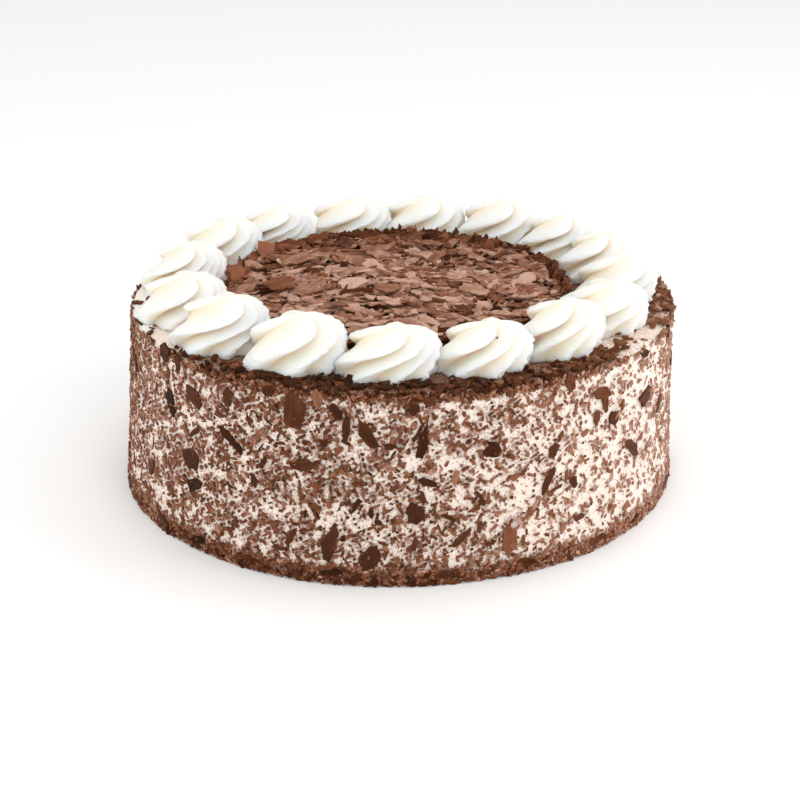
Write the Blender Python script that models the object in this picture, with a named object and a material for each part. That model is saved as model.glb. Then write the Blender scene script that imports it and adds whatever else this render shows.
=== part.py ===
"""Round cream-coated cake with a ring of piped cream swirls and a bed of chocolate flakes.

The cake stands on the plane z = 0 with its foot centred on the origin, +Z up, all sizes in metres.
Azimuths are in degrees, anticlockwise from +X seen from above. The front of the cake looks along -Y.
Nodes: cake_body, flake_bed and cream_swirl_01 to cream_swirl_16.
"""

import math
import random

import bmesh
import bpy
from mathutils import Matrix, Vector

# Cake body
TOP_RADIUS = 0.1194
FOOT_RADIUS = 0.1234
CAKE_HEIGHT = 0.0800
FLARE_POWER = 1.6            # how late the side swings out towards the foot
TOP_SHIFT = 0.0020           # the top sits a little to +X of the foot
EDGE_ROUNDING = 0.0020
EDGE_STEPS = ((1.9, 0.0), (0.4, 0.3), (0.0, 1.0))     # drop and inset of its points, in edge roundings
FOOT_ROUNDING = 0.0022
FOOT_TUCK = 0.0014
SIDE_LEVELS = (FOOT_ROUNDING, 0.014, 0.034, 0.056)
BODY_COLUMNS = 56
SIDE_WAVE = 0.0005           # unevenness of the spread coat

# Swirls
SWIRL_COUNT = 16
FIRST_SWIRL_AZIMUTH = 268.0
RING_CROWDING = 3.2          # degrees by which the ring closes up on its right half
RING_JITTER = 0.8            # degrees
RING_RADIUS = 0.0960
RING_SHIFT = -0.0020         # the ring's centre along +X
SWIRL_HEIGHT = 0.0196
SWIRL_HALF_DEPTH = 0.0185    # from the ring line outwards
WIDTH_OVERLAP = 1.12         # half width over half the distance to the neighbours
SWIRL_LEAN = 0.0055          # every tip is drawn towards +X
LEAN_POWER = 1.2
SWIRL_TWIST = 108.0          # degrees from the foot to the tip
TWIST_START = 0.36           # share of the height over which the twist sets in
TWIST_POWER = 1.45
TWIST_EASING = 0.33          # how much less the ridges opposite the main one turn
FIRST_RIDGE_AZIMUTH = 184.0  # where the main ridge leaves the foot
RIDGE_JITTER = 22.0          # degrees
DOME_POWER = 5.0
DOME_ROOT = 0.58
CREST_SAG = 0.06             # how far the crests droop, as a share of the height
FOOT_NARROWING = 0.04
FOOT_NARROWING_HEIGHT = 0.07
SWIRL_LEVELS = (0.0, 0.08, 0.20, 0.36, 0.54, 0.72, 0.87, 0.96)
NEIGHBOUR_SOFTNESS = 0.0005  # width over which a swirl flattens against the next one
DEPTH_RANGE = (0.97, 1.03)   # how unlike the swirls are, as shares of the usual one
SIZE_RANGE = (0.93, 1.05)
TWIST_RANGE = (0.8, 1.2)

# Ridges round a swirl from the main one on: width in degrees, where in it the crest stands, how soft the fold
# behind it is, and how deep that fold cuts at the foot and higher up, as a share of the reach
RIDGES = (
    (84, 0.72, 0.45, 0.16, 0.60), (58, 0.58, 1.0, 0.18, 0.32), (38, 0.60, 0.9, 0.16, 0.28),
    (34, 0.60, 0.9, 0.16, 0.28), (42, 0.56, 0.9, 0.18, 0.32), (50, 0.58, 0.7, 0.20, 0.42),
    (54, 0.62, 0.7, 0.14, 0.36),
)
MAIN_CREST = math.radians(RIDGES[0][0] * RIDGES[0][1])
VALLEY_POWER = 1.6           # how flat the folds are on their rising side
OPENING_HEIGHT = 0.85        # share of the height at which the folds have their full depth
CREASE_UNEVENNESS = 0.12
RISING_COLUMNS = (0.0, 0.65)         # shares of the way up to a crest that get a column of points
FALLING_COLUMNS = (0.0, 0.55)        # and of the way down after it

# Swirls on the front, by their place in the ring: azimuth where the main ridge starts, twist in degrees, size
SHOWN_SWIRLS = {15: (212, 82, 1.045), 0: (178, 108, 0.955), 1: (186, 88, 0.93), 2: (176, 96, 1.05)}

# Flake bed inside the ring
BED_RADIUS = 0.0735
BED_REACH = 0.0748           # no flake reaches further out than this
BED_SHIFT = -0.0010          # the bed's centre along +X
BED_FOOT_SHARE = 0.985
BED_RING_SHARES = (1.0, 0.72, 0.38)
BED_RIM_HEIGHT = 0.0030
BED_CROWN_HEIGHT = 0.0050
BED_COLUMNS = 36
BED_WAVE = 0.0005
BED_FLAKES = 64
BED_RIM_FLAKES = 14

# Flakes: counts, and the ranges that each one's size is drawn from
SIDE_FLAKES = 44
SIDE_LENGTHS = (0.007, 0.018)
SIDE_WIDTHS = (0.0035, 0.007)
SIDE_BAND = (0.012, 0.070)       # heights that the spread covers
SHOWN_ARC = (205.0, 322.0)       # azimuths that SHOWN_FLAKES fills instead
RIM_FLAKES = 18
RIM_LENGTHS = (0.006, 0.010)
RIM_WIDTHS = (0.003, 0.0055)
RIM_DROP = (0.0022, 0.0034)      # centres below the cake's top
FOOT_FLAKES = 22
FOOT_LENGTHS = (0.007, 0.014)
FOOT_WIDTHS = (0.003, 0.0045)
FOOT_RISE = (0.0036, 0.0056)     # centres above the foot
PRESSED_THICKNESS = 0.0022       # about half of it lies in the coat
PRESSED_DEPTH = 0.0003
BED_LENGTHS = (0.010, 0.020)
BED_WIDTH_SHARE = 0.55
BED_RIM_LENGTHS = (0.010, 0.014)
BED_RIM_WIDTH_SHARE = 0.7
BED_THICKNESS = 0.0016

# Flakes: how far each is turned or tilted at random, in radians, and moved along its row, in steps of the row
SIDE_TURN = 1.4
SIDE_TILT = 0.06
RIM_TURN = 0.5
RIM_TILT = 0.12
FOOT_TURN = 0.25
FOOT_TILT = 0.10
BED_TILT = 0.16
BED_RIM_TILTS = (-0.5, -0.3)     # the outermost lean out against the ring
ROW_JITTER = 0.3

# Flakes: the outline's corners, how far they stray round it, and how far out they are
CORNER_COUNTS = (5, 6)
CORNER_JITTER = 0.25
CORNER_REACH = (0.86, 1.0)
TURNED_REACH = 0.47              # how far a turned flake reaches from its centre, as a share of its length

# Rules and gaps
FLAKE_SEED = 11
SWIRL_SEED = 5
SPREAD_TURN = math.degrees(math.pi * (3.0 - math.sqrt(5.0)))
SPREAD_RISE = 0.7549             # steps that fill a height range evenly
CLEARANCE = 0.0003               # between neighbouring solids
WELD = 0.000001

# Large flakes seen on the front: azimuth, height in mm, length, width, turn clockwise from upright
SHOWN_FLAKES = (
    (217, 79, 9, 7, 7), (227, 66, 13, 6, -45), (236, 71, 9, 5, 0), (250, 71, 18, 9, 2),
    (237, 53, 16, 4, -53), (226, 39, 10, 10, 5), (227, 28, 12, 5, 63), (252, 49, 12, 5, 82),
    (257, 16, 14, 5, -2), (219, 59, 13, 5, -15), (258, 72, 8, 4, -39), (260, 66, 13, 3, -1),
    (264, 63, 15, 5, -32), (274, 60, 17, 4, 13), (275, 44, 9, 3, -69), (273, 31, 10, 7, -4),
    (265, 12, 13, 7, 31), (258, 19, 18, 4, 10), (291, 16, 15, 6, -1), (299, 38, 13, 3, 29),
    (287, 55, 8, 7, 40), (312, 68, 12, 5, -75), (316, 55, 7, 6, -10), (282, 20, 10, 3, 40),
)

CREAM = "#F7F1E6"
COATED_CREAM = "#8A5B45"
CHOCOLATE = "#6B4234"


def linear(code):
    """Return the linear RGBA of an sRGB hex code."""
    channels = [int(code[i:i + 2], 16) / 255 for i in (1, 3, 5)]
    return [c / 12.92 if c <= 0.04045 else ((c + 0.055) / 1.055) ** 2.4 for c in channels] + [1.0]


def make_material(name, colour, roughness):
    """Return a plain Principled material."""
    material = bpy.data.materials.new(name)
    material.use_nodes = True
    shader = material.node_tree.nodes["Principled BSDF"]
    shader.inputs["Base Color"].default_value = linear(colour)
    shader.inputs["Roughness"].default_value = roughness
    shader.inputs["Metallic"].default_value = 0.0
    return material


def mesh_object(name, points, faces, material=None):
    """Make an object in the scene from points and faces, smooth where the faces meet gently."""
    mesh = bpy.data.meshes.new(name)
    mesh.from_pydata(points, [], faces)
    item = bpy.data.objects.new(name, mesh)
    bpy.context.scene.collection.objects.link(item)
    if material:
        mesh.materials.append(material)
    mesh.shade_smooth()
    mesh.set_sharp_from_angle(angle=math.radians(50))
    return item


def loft(rings, apex=None):
    """Return points and faces of a closed body through rings of equal length, lowest ring first."""
    points = [point for ring in rings for point in ring]
    columns = len(rings[0])
    faces = [tuple(reversed(range(columns)))]
    for level in range(len(rings) - 1):
        low = level * columns
        high = low + columns
        for i in range(columns):
            j = (i + 1) % columns
            faces.append((low + i, low + j, high + j, high + i))
    last = (len(rings) - 1) * columns
    if apex is None:
        faces.append(tuple(range(last, last + columns)))
    else:
        points.append(apex)
        tip = len(points) - 1
        faces += [(last + i, last + (i + 1) % columns, tip) for i in range(columns)]
    return points, faces


def side_radius(azimuth, height):
    """Radius of the coated side at an azimuth in radians and a height, about the shifted axis."""
    rise = min(max(height / CAKE_HEIGHT, 0.0), 1.0)
    radius = TOP_RADIUS + (FOOT_RADIUS - TOP_RADIUS) * (1.0 - rise) ** FLARE_POWER
    wave = math.sin(3 * azimuth + 1.0) + 0.7 * math.sin(7 * azimuth + 2.0 + 40 * height)
    return radius + SIDE_WAVE * wave


def side_point(azimuth, height, outwards=0.0):
    """Point on the coated side, or that far outside it."""
    radius = side_radius(azimuth, height) + outwards
    shift = TOP_SHIFT * height / CAKE_HEIGHT
    return Vector((shift + radius * math.cos(azimuth), radius * math.sin(azimuth), height))


def body_core():
    """The coated cake without its flakes."""
    profile = [(0.0, -FOOT_TUCK)]
    profile += [(height, 0.0) for height in SIDE_LEVELS]
    profile += [(CAKE_HEIGHT - drop * EDGE_ROUNDING, -inset * EDGE_ROUNDING) for drop, inset in EDGE_STEPS]
    rings = []
    for height, outwards in profile:
        turns = [2 * math.pi * i / BODY_COLUMNS for i in range(BODY_COLUMNS)]
        rings.append([side_point(turn, height, outwards) for turn in turns])
    return mesh_object("cake_body", *loft(rings))


def flake(place, length, width, thickness, draw):
    """A flat broken piece of chocolate: an uneven five or six-sided plate in its own X-Y plane."""
    corners = draw.choice(CORNER_COUNTS)
    outline = []
    for i in range(corners):
        turn = 2 * math.pi * (i + draw.uniform(-CORNER_JITTER, CORNER_JITTER)) / corners
        reach = draw.uniform(*CORNER_REACH)
        outline.append((reach * length / 2 * math.cos(turn), reach * width / 2 * math.sin(turn)))
    rings = [[place @ Vector((x, y, z)) for x, y in outline] for z in (-thickness / 2, thickness / 2)]
    return mesh_object("flake", *loft(rings))


def frame_on_side(degrees, height, turn, lift, tilt):
    """Matrix whose X runs along a flake, turned from upright, and whose Z looks out of the side."""
    azimuth = math.radians(degrees)
    outward = Vector((math.cos(azimuth), math.sin(azimuth), 0.0))
    upward = Vector((0.0, 0.0, 1.0))
    along = upward.cross(outward)
    axes = Matrix((upward, -along, outward)).transposed().to_4x4()
    spin = Matrix.Rotation(turn, 4, "Z") @ Matrix.Rotation(tilt, 4, "Y")
    return Matrix.Translation(side_point(azimuth, height, lift)) @ axes @ spin


def pressed_flake(azimuth, height, turn, tilt, lengths, widths, draw):
    """A flake of a size drawn from two ranges, pressed on the side."""
    place = frame_on_side(azimuth, height, turn, -PRESSED_DEPTH, tilt)
    return flake(place, draw.uniform(*lengths), draw.uniform(*widths), PRESSED_THICKNESS, draw)


def side_flakes(draw):
    """Flakes that lie pressed on the side: those seen on the front, then a spread all round."""
    items = []
    for azimuth, height, length, width, turn in SHOWN_FLAKES:
        lying = frame_on_side(azimuth, height / 1000, -math.radians(turn), -PRESSED_DEPTH, 0.0)
        items.append(flake(lying, length / 1000, width / 1000, PRESSED_THICKNESS, draw))
    low, high = SIDE_BAND
    for i in range(SIDE_FLAKES):
        azimuth = i * SPREAD_TURN % 360
        if SHOWN_ARC[0] < azimuth < SHOWN_ARC[1]:
            continue
        height = low + (high - low) * (i * SPREAD_RISE % 1.0)
        turn = draw.uniform(-SIDE_TURN, SIDE_TURN)
        tilt = draw.uniform(-SIDE_TILT, SIDE_TILT)
        items.append(pressed_flake(azimuth, height, turn, tilt, SIDE_LENGTHS, SIDE_WIDTHS, draw))
    return items


def rim_flakes(draw):
    """Flakes that crown the top edge, some upright and some lying along it."""
    items = []
    for i in range(RIM_FLAKES):
        azimuth = 360 * (i + draw.uniform(-ROW_JITTER, ROW_JITTER)) / RIM_FLAKES
        height = CAKE_HEIGHT - draw.uniform(*RIM_DROP)
        turn = draw.uniform(-RIM_TURN, RIM_TURN) + math.pi / 2 * draw.choice((0, 1))
        tilt = draw.uniform(-RIM_TILT, RIM_TILT)
        items.append(pressed_flake(azimuth, height, turn, tilt, RIM_LENGTHS, RIM_WIDTHS, draw))
    return items


def foot_flakes(draw):
    """Flakes gathered round the foot, lying along it."""
    items = []
    for i in range(FOOT_FLAKES):
        azimuth = 360 * (i + draw.uniform(-ROW_JITTER, ROW_JITTER)) / FOOT_FLAKES
        height = draw.uniform(*FOOT_RISE)
        turn = math.pi / 2 + draw.uniform(-FOOT_TURN, FOOT_TURN)
        tilt = draw.uniform(-FOOT_TILT, FOOT_TILT)
        items.append(pressed_flake(azimuth, height, turn, tilt, FOOT_LENGTHS, FOOT_WIDTHS, draw))
    return items


def fuse(core, flakes, material):
    """Join the flakes to the core with one union, and leave the core as the only object."""
    group = bpy.data.collections.new("flakes")
    bpy.context.scene.collection.children.link(group)
    for item in flakes:
        bpy.context.scene.collection.objects.unlink(item)
        group.objects.link(item)
    union = core.modifiers.new("flakes joined", "BOOLEAN")
    union.operation = "UNION"
    union.operand_type = "COLLECTION"
    union.collection = group
    union.solver = "EXACT"
    joined = bpy.data.meshes.new_from_object(core.evaluated_get(bpy.context.evaluated_depsgraph_get()))
    core.modifiers.remove(union)
    core.data = joined
    for item in flakes:
        bpy.data.objects.remove(item)
    bpy.data.collections.remove(group)
    tidy = bmesh.new()
    tidy.from_mesh(joined)
    bmesh.ops.remove_doubles(tidy, verts=tidy.verts, dist=WELD)
    bmesh.ops.triangulate(tidy, faces=tidy.faces)
    tidy.to_mesh(joined)
    tidy.free()
    joined.materials.clear()
    joined.materials.append(material)
    joined.shade_smooth()
    joined.set_sharp_from_angle(angle=math.radians(35))
    return core


def bed_height(x, y):
    """Height of the bed's packed core above the cake's top, gently uneven."""
    distance = min(math.hypot(x, y) / BED_RADIUS, 1.0)
    crown = BED_RIM_HEIGHT + (BED_CROWN_HEIGHT - BED_RIM_HEIGHT) * (1.0 - distance ** 2)
    return crown + BED_WAVE * (math.sin(120 * x + 1.0) + math.sin(150 * y + 60 * x))


def bed_core():
    """The packed heap under the flakes that show, standing just clear of the cake's top."""
    floor = CAKE_HEIGHT + CLEARANCE
    rings = []
    for level, share in enumerate((BED_FOOT_SHARE, *BED_RING_SHARES)):
        ring = []
        for i in range(BED_COLUMNS):
            turn = 2 * math.pi * i / BED_COLUMNS
            x = share * BED_RADIUS * math.cos(turn)
            y = share * BED_RADIUS * math.sin(turn)
            height = bed_height(x, y) if level else 0.0
            ring.append(Vector((BED_SHIFT + x, y, floor + height)))
        rings.append(ring)
    apex = Vector((BED_SHIFT, 0.0, floor + bed_height(0.0, 0.0)))
    return mesh_object("flake_bed", *loft(rings, apex))


def bed_flake(distance, azimuth, length, width, tilt, draw):
    """One flake of the bed, drawn in from the ring and lifted off the cake where it would touch."""
    spin = Matrix.Rotation(draw.uniform(0, 2 * math.pi), 4, "Z")
    lean = Matrix.Rotation(tilt, 4, Vector((-math.sin(azimuth), math.cos(azimuth), 0.0)))
    distance -= max(distance + TURNED_REACH * length - BED_REACH, 0.0)
    x = distance * math.cos(azimuth)
    y = distance * math.sin(azimuth)
    floor = CAKE_HEIGHT + CLEARANCE
    drop = 0.5 * length * math.sin(abs(tilt)) + BED_THICKNESS / 2
    height = max(bed_height(x, y), drop + CLEARANCE)
    place = Matrix.Translation(Vector((BED_SHIFT + x, y, floor + height))) @ lean @ spin
    return flake(place, length, width, BED_THICKNESS, draw)


def bed_flakes(draw):
    """Broken flakes lying over one another, with a few leaning outwards against the ring."""
    items = []
    for i in range(BED_FLAKES):
        distance = BED_REACH * math.sqrt((i + 0.5) / BED_FLAKES)
        azimuth = math.radians(i * SPREAD_TURN)
        length = draw.uniform(*BED_LENGTHS)
        tilt = draw.uniform(-BED_TILT, BED_TILT)
        items.append(bed_flake(distance, azimuth, length, BED_WIDTH_SHARE * length, tilt, draw))
    for i in range(BED_RIM_FLAKES):
        azimuth = 2 * math.pi * (i + draw.uniform(-ROW_JITTER, ROW_JITTER)) / BED_RIM_FLAKES
        length = draw.uniform(*BED_RIM_LENGTHS)
        tilt = draw.uniform(*BED_RIM_TILTS)
        items.append(bed_flake(BED_REACH, azimuth, length, BED_RIM_WIDTH_SHARE * length, tilt, draw))
    return items


def swirl_azimuths(draw):
    """Azimuths of the swirls in radians: evenly spaced, but a little closer on the right half."""
    azimuths = []
    for i in range(SWIRL_COUNT):
        turn = 360.0 * i / SWIRL_COUNT
        closing = RING_CROWDING * (1.0 - math.cos(math.radians(turn)))
        jitter = draw.uniform(-RING_JITTER, RING_JITTER)
        azimuths.append(math.radians(FIRST_SWIRL_AZIMUTH + turn - closing + jitter))
    return azimuths


def ridge_section():
    """Columns of points round a swirl: the turn of each, its height, and how deep its fold cuts.

    Height is 0 in a fold and 1 on a crest. The depth is given twice, at the foot and higher up.
    """
    section = []
    edge = 0.0
    for i, (width, crest, softness, *fold) in enumerate(RIDGES):
        for part in RISING_COLUMNS:
            height = (0.5 - 0.5 * math.cos(math.pi * part)) ** VALLEY_POWER
            section.append((math.radians(edge + width * part * crest), height, *RIDGES[i - 1][3:]))
        for part in FALLING_COLUMNS:
            height = math.cos(math.pi / 2 * part) ** softness
            section.append((math.radians(edge + width * (crest + part * (1 - crest))), height, *fold))
        edge += width
    return section


def twist_share(level):
    """Share of the whole twist reached at a level: the ridges stand upright on the foot, then turn fast."""
    started = level ** 2 / (4 * TWIST_START) if level < 2 * TWIST_START else level - TWIST_START
    return 1.0 - (1.0 - started / (1.0 - TWIST_START)) ** TWIST_POWER


def swirl_reach(level):
    """Radius of a swirl at a share of its height, as a share of its widest radius."""
    dome = (1.0 - level ** DOME_POWER) ** DOME_ROOT
    return dome * (1.0 - FOOT_NARROWING * math.exp(-level / FOOT_NARROWING_HEIGHT))


def kept_clear(point, plane_azimuth, side):
    """Press a point softly back from the upright plane between two neighbouring swirls."""
    normal = Vector((-math.sin(plane_azimuth), math.cos(plane_azimuth), 0.0)) * side
    depth = point.dot(normal) - CLEARANCE / 2
    softened = NEIGHBOUR_SOFTNESS * math.log1p(math.exp(-abs(depth) / NEIGHBOUR_SOFTNESS)) + max(depth, 0.0)
    return point + normal * (softened - depth)


def swirl_ring(level, centre, half_depth, half_width, size, start, twist, uneven):
    """One level of a swirl: its ridges round an oval that is wide along the ring."""
    outwards = centre.normalized()
    sideways = Vector((-outwards.y, outwards.x, 0.0))
    lean = SWIRL_LEAN * size * level ** LEAN_POWER
    opening = math.sin(math.pi / 2 * min(level / OPENING_HEIGHT, 1.0))
    ring = []
    for spread, height, foot, full in ridge_section():
        eased = 1.0 - TWIST_EASING * (1.0 - math.cos(spread - MAIN_CREST))
        turn = start + spread + twist * eased * twist_share(level)
        depth = (foot + (full - foot) * opening) * (1.0 + CREASE_UNEVENNESS * math.cos(3 * spread + uneven))
        reach = swirl_reach(level) * (1.0 - depth * (1.0 - height))
        x = math.cos(turn)
        y = math.sin(turn)
        out = (x * outwards.x + y * outwards.y) * half_depth * reach
        side = (x * sideways.x + y * sideways.y) * half_width * reach
        rise = level - 4 * CREST_SAG * height * (1 - level) * level
        place = Vector((lean, 0.0, SWIRL_HEIGHT * size * rise))
        ring.append(centre + outwards * out + sideways * side + place)
    return ring


def swirl(index, azimuths, draw, material):
    """One piped swirl: twisted ridges under a tip drawn to one side, flattened against its neighbours."""
    azimuth = azimuths[index]
    before = azimuths[index - 1] - (2 * math.pi if index == 0 else 0.0)
    after = azimuths[(index + 1) % SWIRL_COUNT] + (2 * math.pi if index == SWIRL_COUNT - 1 else 0.0)
    centre = Vector((math.cos(azimuth), math.sin(azimuth), 0.0)) * RING_RADIUS
    half_width = RING_RADIUS * math.sin((after - before) / 4) * WIDTH_OVERLAP
    half_depth = SWIRL_HALF_DEPTH * draw.uniform(*DEPTH_RANGE)
    size = draw.uniform(*SIZE_RANGE)
    first = FIRST_RIDGE_AZIMUTH + draw.uniform(-RIDGE_JITTER, RIDGE_JITTER)
    twist = SWIRL_TWIST * draw.uniform(*TWIST_RANGE)
    uneven = draw.uniform(0, 2 * math.pi)
    if index in SHOWN_SWIRLS:
        first, twist, size = SHOWN_SWIRLS[index]
    start = math.radians(first) - MAIN_CREST
    base = Vector((RING_SHIFT, 0.0, CAKE_HEIGHT + CLEARANCE))
    rings = []
    for level in SWIRL_LEVELS:
        ring = swirl_ring(level, centre, half_depth, half_width, size, start, math.radians(twist), uneven)
        ring = [kept_clear(point, (azimuth + before) / 2, 1) for point in ring]
        rings.append([base + kept_clear(point, (azimuth + after) / 2, -1) for point in ring])
    apex = base + centre + Vector((SWIRL_LEAN * size, 0.0, SWIRL_HEIGHT * size))
    return mesh_object(f"cream_swirl_{index + 1:02d}", *loft(rings, apex), material)


def main():
    for item in list(bpy.data.objects):
        bpy.data.objects.remove(item)
    cream = make_material("whipped cream", CREAM, 0.5)
    coat = make_material("cream coated with chocolate shavings", COATED_CREAM, 0.6)
    chocolate = make_material("milk chocolate flakes", CHOCOLATE, 0.55)
    draw = random.Random(FLAKE_SEED)
    fuse(body_core(), side_flakes(draw) + rim_flakes(draw) + foot_flakes(draw), coat)
    fuse(bed_core(), bed_flakes(draw), chocolate)
    draw = random.Random(SWIRL_SEED)
    azimuths = swirl_azimuths(draw)
    for index in range(SWIRL_COUNT):
        swirl(index, azimuths, draw, cream)


main()
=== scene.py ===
"""Looks of a round cream cake: coat, shavings, flakes, piped swirls, floor, lights and camera.

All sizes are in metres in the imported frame: the foot's centre is the origin, +Z is up, and the front looks
along -Y. Azimuths are anticlockwise from +X as seen from above.
"""

import math
import random
from functools import partial
from typing import NamedTuple

import bpy
import numpy as np
from bpy.props import FloatProperty, FloatVectorProperty, IntProperty, PointerProperty
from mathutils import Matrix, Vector, noise


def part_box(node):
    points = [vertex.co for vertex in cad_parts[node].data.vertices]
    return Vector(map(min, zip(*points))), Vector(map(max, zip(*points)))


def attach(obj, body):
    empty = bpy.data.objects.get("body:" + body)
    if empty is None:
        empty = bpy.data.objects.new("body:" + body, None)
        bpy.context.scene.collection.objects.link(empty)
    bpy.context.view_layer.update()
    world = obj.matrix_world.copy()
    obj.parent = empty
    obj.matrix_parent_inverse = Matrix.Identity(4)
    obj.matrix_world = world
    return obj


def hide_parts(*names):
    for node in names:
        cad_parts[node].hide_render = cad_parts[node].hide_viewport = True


bl_info = {
    "name": "Round Cream Cake",
    "version": (1, 0, 0),
    "blender": (4, 5, 0),
    "location": "View3D > Sidebar > Cake",
    "description": "Dresses the packed cake in cream, chocolate shavings, flakes and piped swirls",
    "category": "Object",
}

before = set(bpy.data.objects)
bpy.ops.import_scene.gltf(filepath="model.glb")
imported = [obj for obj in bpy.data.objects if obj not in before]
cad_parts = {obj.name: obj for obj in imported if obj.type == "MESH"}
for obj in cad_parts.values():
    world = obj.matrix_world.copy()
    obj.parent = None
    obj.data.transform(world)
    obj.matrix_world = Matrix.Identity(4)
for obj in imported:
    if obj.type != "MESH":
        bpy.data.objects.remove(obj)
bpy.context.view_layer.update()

# Form of the coated cake, as its solid has it
TOP_RADIUS = 0.1194
FOOT_RADIUS = 0.1234
FLARE_POWER = 1.6
TOP_SHIFT = 0.0020
EDGE_ROUNDING = 0.0020
FOOT_TUCK = 0.0014
FOOT_ROUNDING = 0.0022
SIDE_WAVE = 0.0005
CLEARANCE = 0.0003
CAKE_HEIGHT = round(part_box("flake_bed")[0].z - CLEARANCE, 4)

# Points of the coat round the top edge, drop and tuck as shares of its rounding, and across the flat top
COAT_EDGE = ((1.0, 0.1), (0.4, 0.3), (0.0, 1.0))
COAT_TOP_SHARES = (0.97, 0.94, 0.88, 0.80, 0.66, 0.3)

# Form of the swirls and their ring
SWIRL_COUNT = 16
FIRST_SWIRL_AZIMUTH = 268.0
RING_CROWDING = 3.2
RING_JITTER = 0.8
RING_RADIUS = 0.0960
RING_SHIFT = -0.0020
SWIRL_HEIGHT = 0.0196
SWIRL_HALF_DEPTH = 0.0185
WIDTH_OVERLAP = 1.12
SWIRL_LEAN = 0.0055
LEAN_POWER = 1.2
SWIRL_TWIST = 108.0
TWIST_START = 0.36
TWIST_POWER = 1.45
TWIST_EASING = 0.33
FIRST_RIDGE_AZIMUTH = 184.0
RIDGE_JITTER = 22.0
DOME_POWER = 5.0
DOME_ROOT = 0.58
CREST_SAG = 0.06
FOOT_NARROWING = 0.04
FOOT_NARROWING_HEIGHT = 0.07
DEPTH_RANGE = (0.97, 1.03)
SIZE_RANGE = (0.93, 1.05)
TWIST_RANGE = (0.8, 1.2)
SWIRL_SEED = 5

# Ridges round a swirl from the main one on: width in degrees, where in it the crest stands, how soft the fold
# behind it is, and how deep that fold cuts at the foot and higher up, as a share of the reach
RIDGES = (
    (84, 0.72, 0.45, 0.16, 0.60), (58, 0.58, 1.0, 0.18, 0.32), (38, 0.60, 0.9, 0.16, 0.28),
    (34, 0.60, 0.9, 0.16, 0.28), (42, 0.56, 0.9, 0.18, 0.32), (50, 0.58, 0.7, 0.20, 0.42),
    (54, 0.62, 0.7, 0.14, 0.36),
)
MAIN_CREST = math.radians(RIDGES[0][0] * RIDGES[0][1])
VALLEY_POWER = 1.6
OPENING_HEIGHT = 0.85
CREASE_UNEVENNESS = 0.12

# Lumps in the piped cream: their sizes, and how much more ragged the crests are
LUMP_SIZES = (0.006, 0.0022)
CREST_GRAIN = 0.0016
CREST_RAGGEDNESS = 2.3

# Swirls on the front, by their place in the ring: azimuth where the main ridge starts, twist in degrees, size
SHOWN_SWIRLS = {15: (212, 82, 1.045), 0: (178, 108, 0.955), 1: (186, 88, 0.93), 2: (176, 96, 1.05)}

# Form of the flake bed
BED_RADIUS = 0.0735
BED_REACH = 0.0748
BED_SHIFT = -0.0010
BED_RIM_HEIGHT = 0.0030
BED_CROWN_HEIGHT = 0.0050
BED_WAVE = 0.0005
BED_FLOOR = CAKE_HEIGHT + CLEARANCE
CORE_FOOT_SHARE = 0.985
CORE_RELIEF = 0.0006
CORE_COLUMNS = 240
CORE_RINGS = 48
# The core's tone is darker than the plates': partly the chocolate's own, partly painted shade in the gaps
# between the plates
CORE_TONE_WITH_GAP_SHADE = 0.36
SOLID_HALF_THICKNESS = 0.0008

# Spread of the flakes that the solids have too: how many, where they lie, and how far off their rows
FLAKE_SEED = 11
SPREAD_TURN = math.degrees(math.pi * (3.0 - math.sqrt(5.0)))
SPREAD_RISE = 0.7549
ROW_JITTER = 0.3
SIDE_FLAKES = 44
SIDE_BAND = (0.012, 0.070)
SHOWN_ARC = (205.0, 322.0)
RIM_FLAKES = 18
RIM_DROP = (0.0022, 0.0034)
FOOT_FLAKES = 22
FOOT_RISE = (0.0036, 0.0056)
BED_FLAKES = 64
BED_RIM_FLAKES = 14

# Forms of the same flakes: ranges of length and width, and the most that each turns or tilts, in radians
SIDE_SIZES = ((0.007, 0.018), (0.0035, 0.007))
SIDE_TURN = 1.4
SIDE_TILT = 0.06
RIM_SIZES = ((0.006, 0.010), (0.003, 0.0055))
RIM_TURN = 0.5
RIM_TILT = 0.12
FOOT_SIZES = ((0.007, 0.014), (0.003, 0.0045))
FOOT_TURN = 0.25
FOOT_TILT = 0.10
BED_LENGTHS = (0.010, 0.020)
BED_WIDTH_SHARE = 0.55
BED_TILTS = (-0.16, 0.16)
BED_RIM_LENGTHS = (0.010, 0.014)
BED_RIM_WIDTH_SHARE = 0.7
BED_RIM_TILTS = (-0.5, -0.3)
TURNED_REACH = 0.47
CORNER_COUNTS = (5, 6)
CORNER_JITTER = 0.25
CORNER_REACH = (0.86, 1.0)
PRESSED_PROUD = 0.0008
PRESSED_THICKNESS = 0.0012
CHIP_THICKNESS = 0.0010
SIDE_WIDENING = (1.05, 1.20)

# How broken plates are drawn: jitter and reach of their corners, how boxy, and their smaller underside
BREAK_JITTER = 0.28
BREAK_REACH = (0.66, 1.10)
BOXINESS = 0.7
UNDERSIDE_SHARE = 0.96

# How far apart the patterns of neighbouring plates are taken, so that no two look alike
PATTERN_STEPS = (0.013, 0.007, 0.011)

# Steps round and up that spread any number of places evenly over the side
EVEN_STEPS = (0.7548777, 0.5698403)

# Finishes of the chocolate: roughness, and how strongly the dusty bloom shows
CHOCOLATES = {
    "milk_chocolate_scraped": (0.5, 0.3),
    "milk_chocolate_grated": (0.55, 0.1),
    "milk_chocolate_packed": (0.7, 0.2),
    "milk_chocolate_bloomed": (0.55, 0.5),
}

# Stretches of the rim left nearly bare: azimuth, half width, and the share of the chocolate that is missing
BARE_RIM = ((191, 33, 0.95), (331, 16, 0.72), (90, 50, 0.40))

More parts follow.
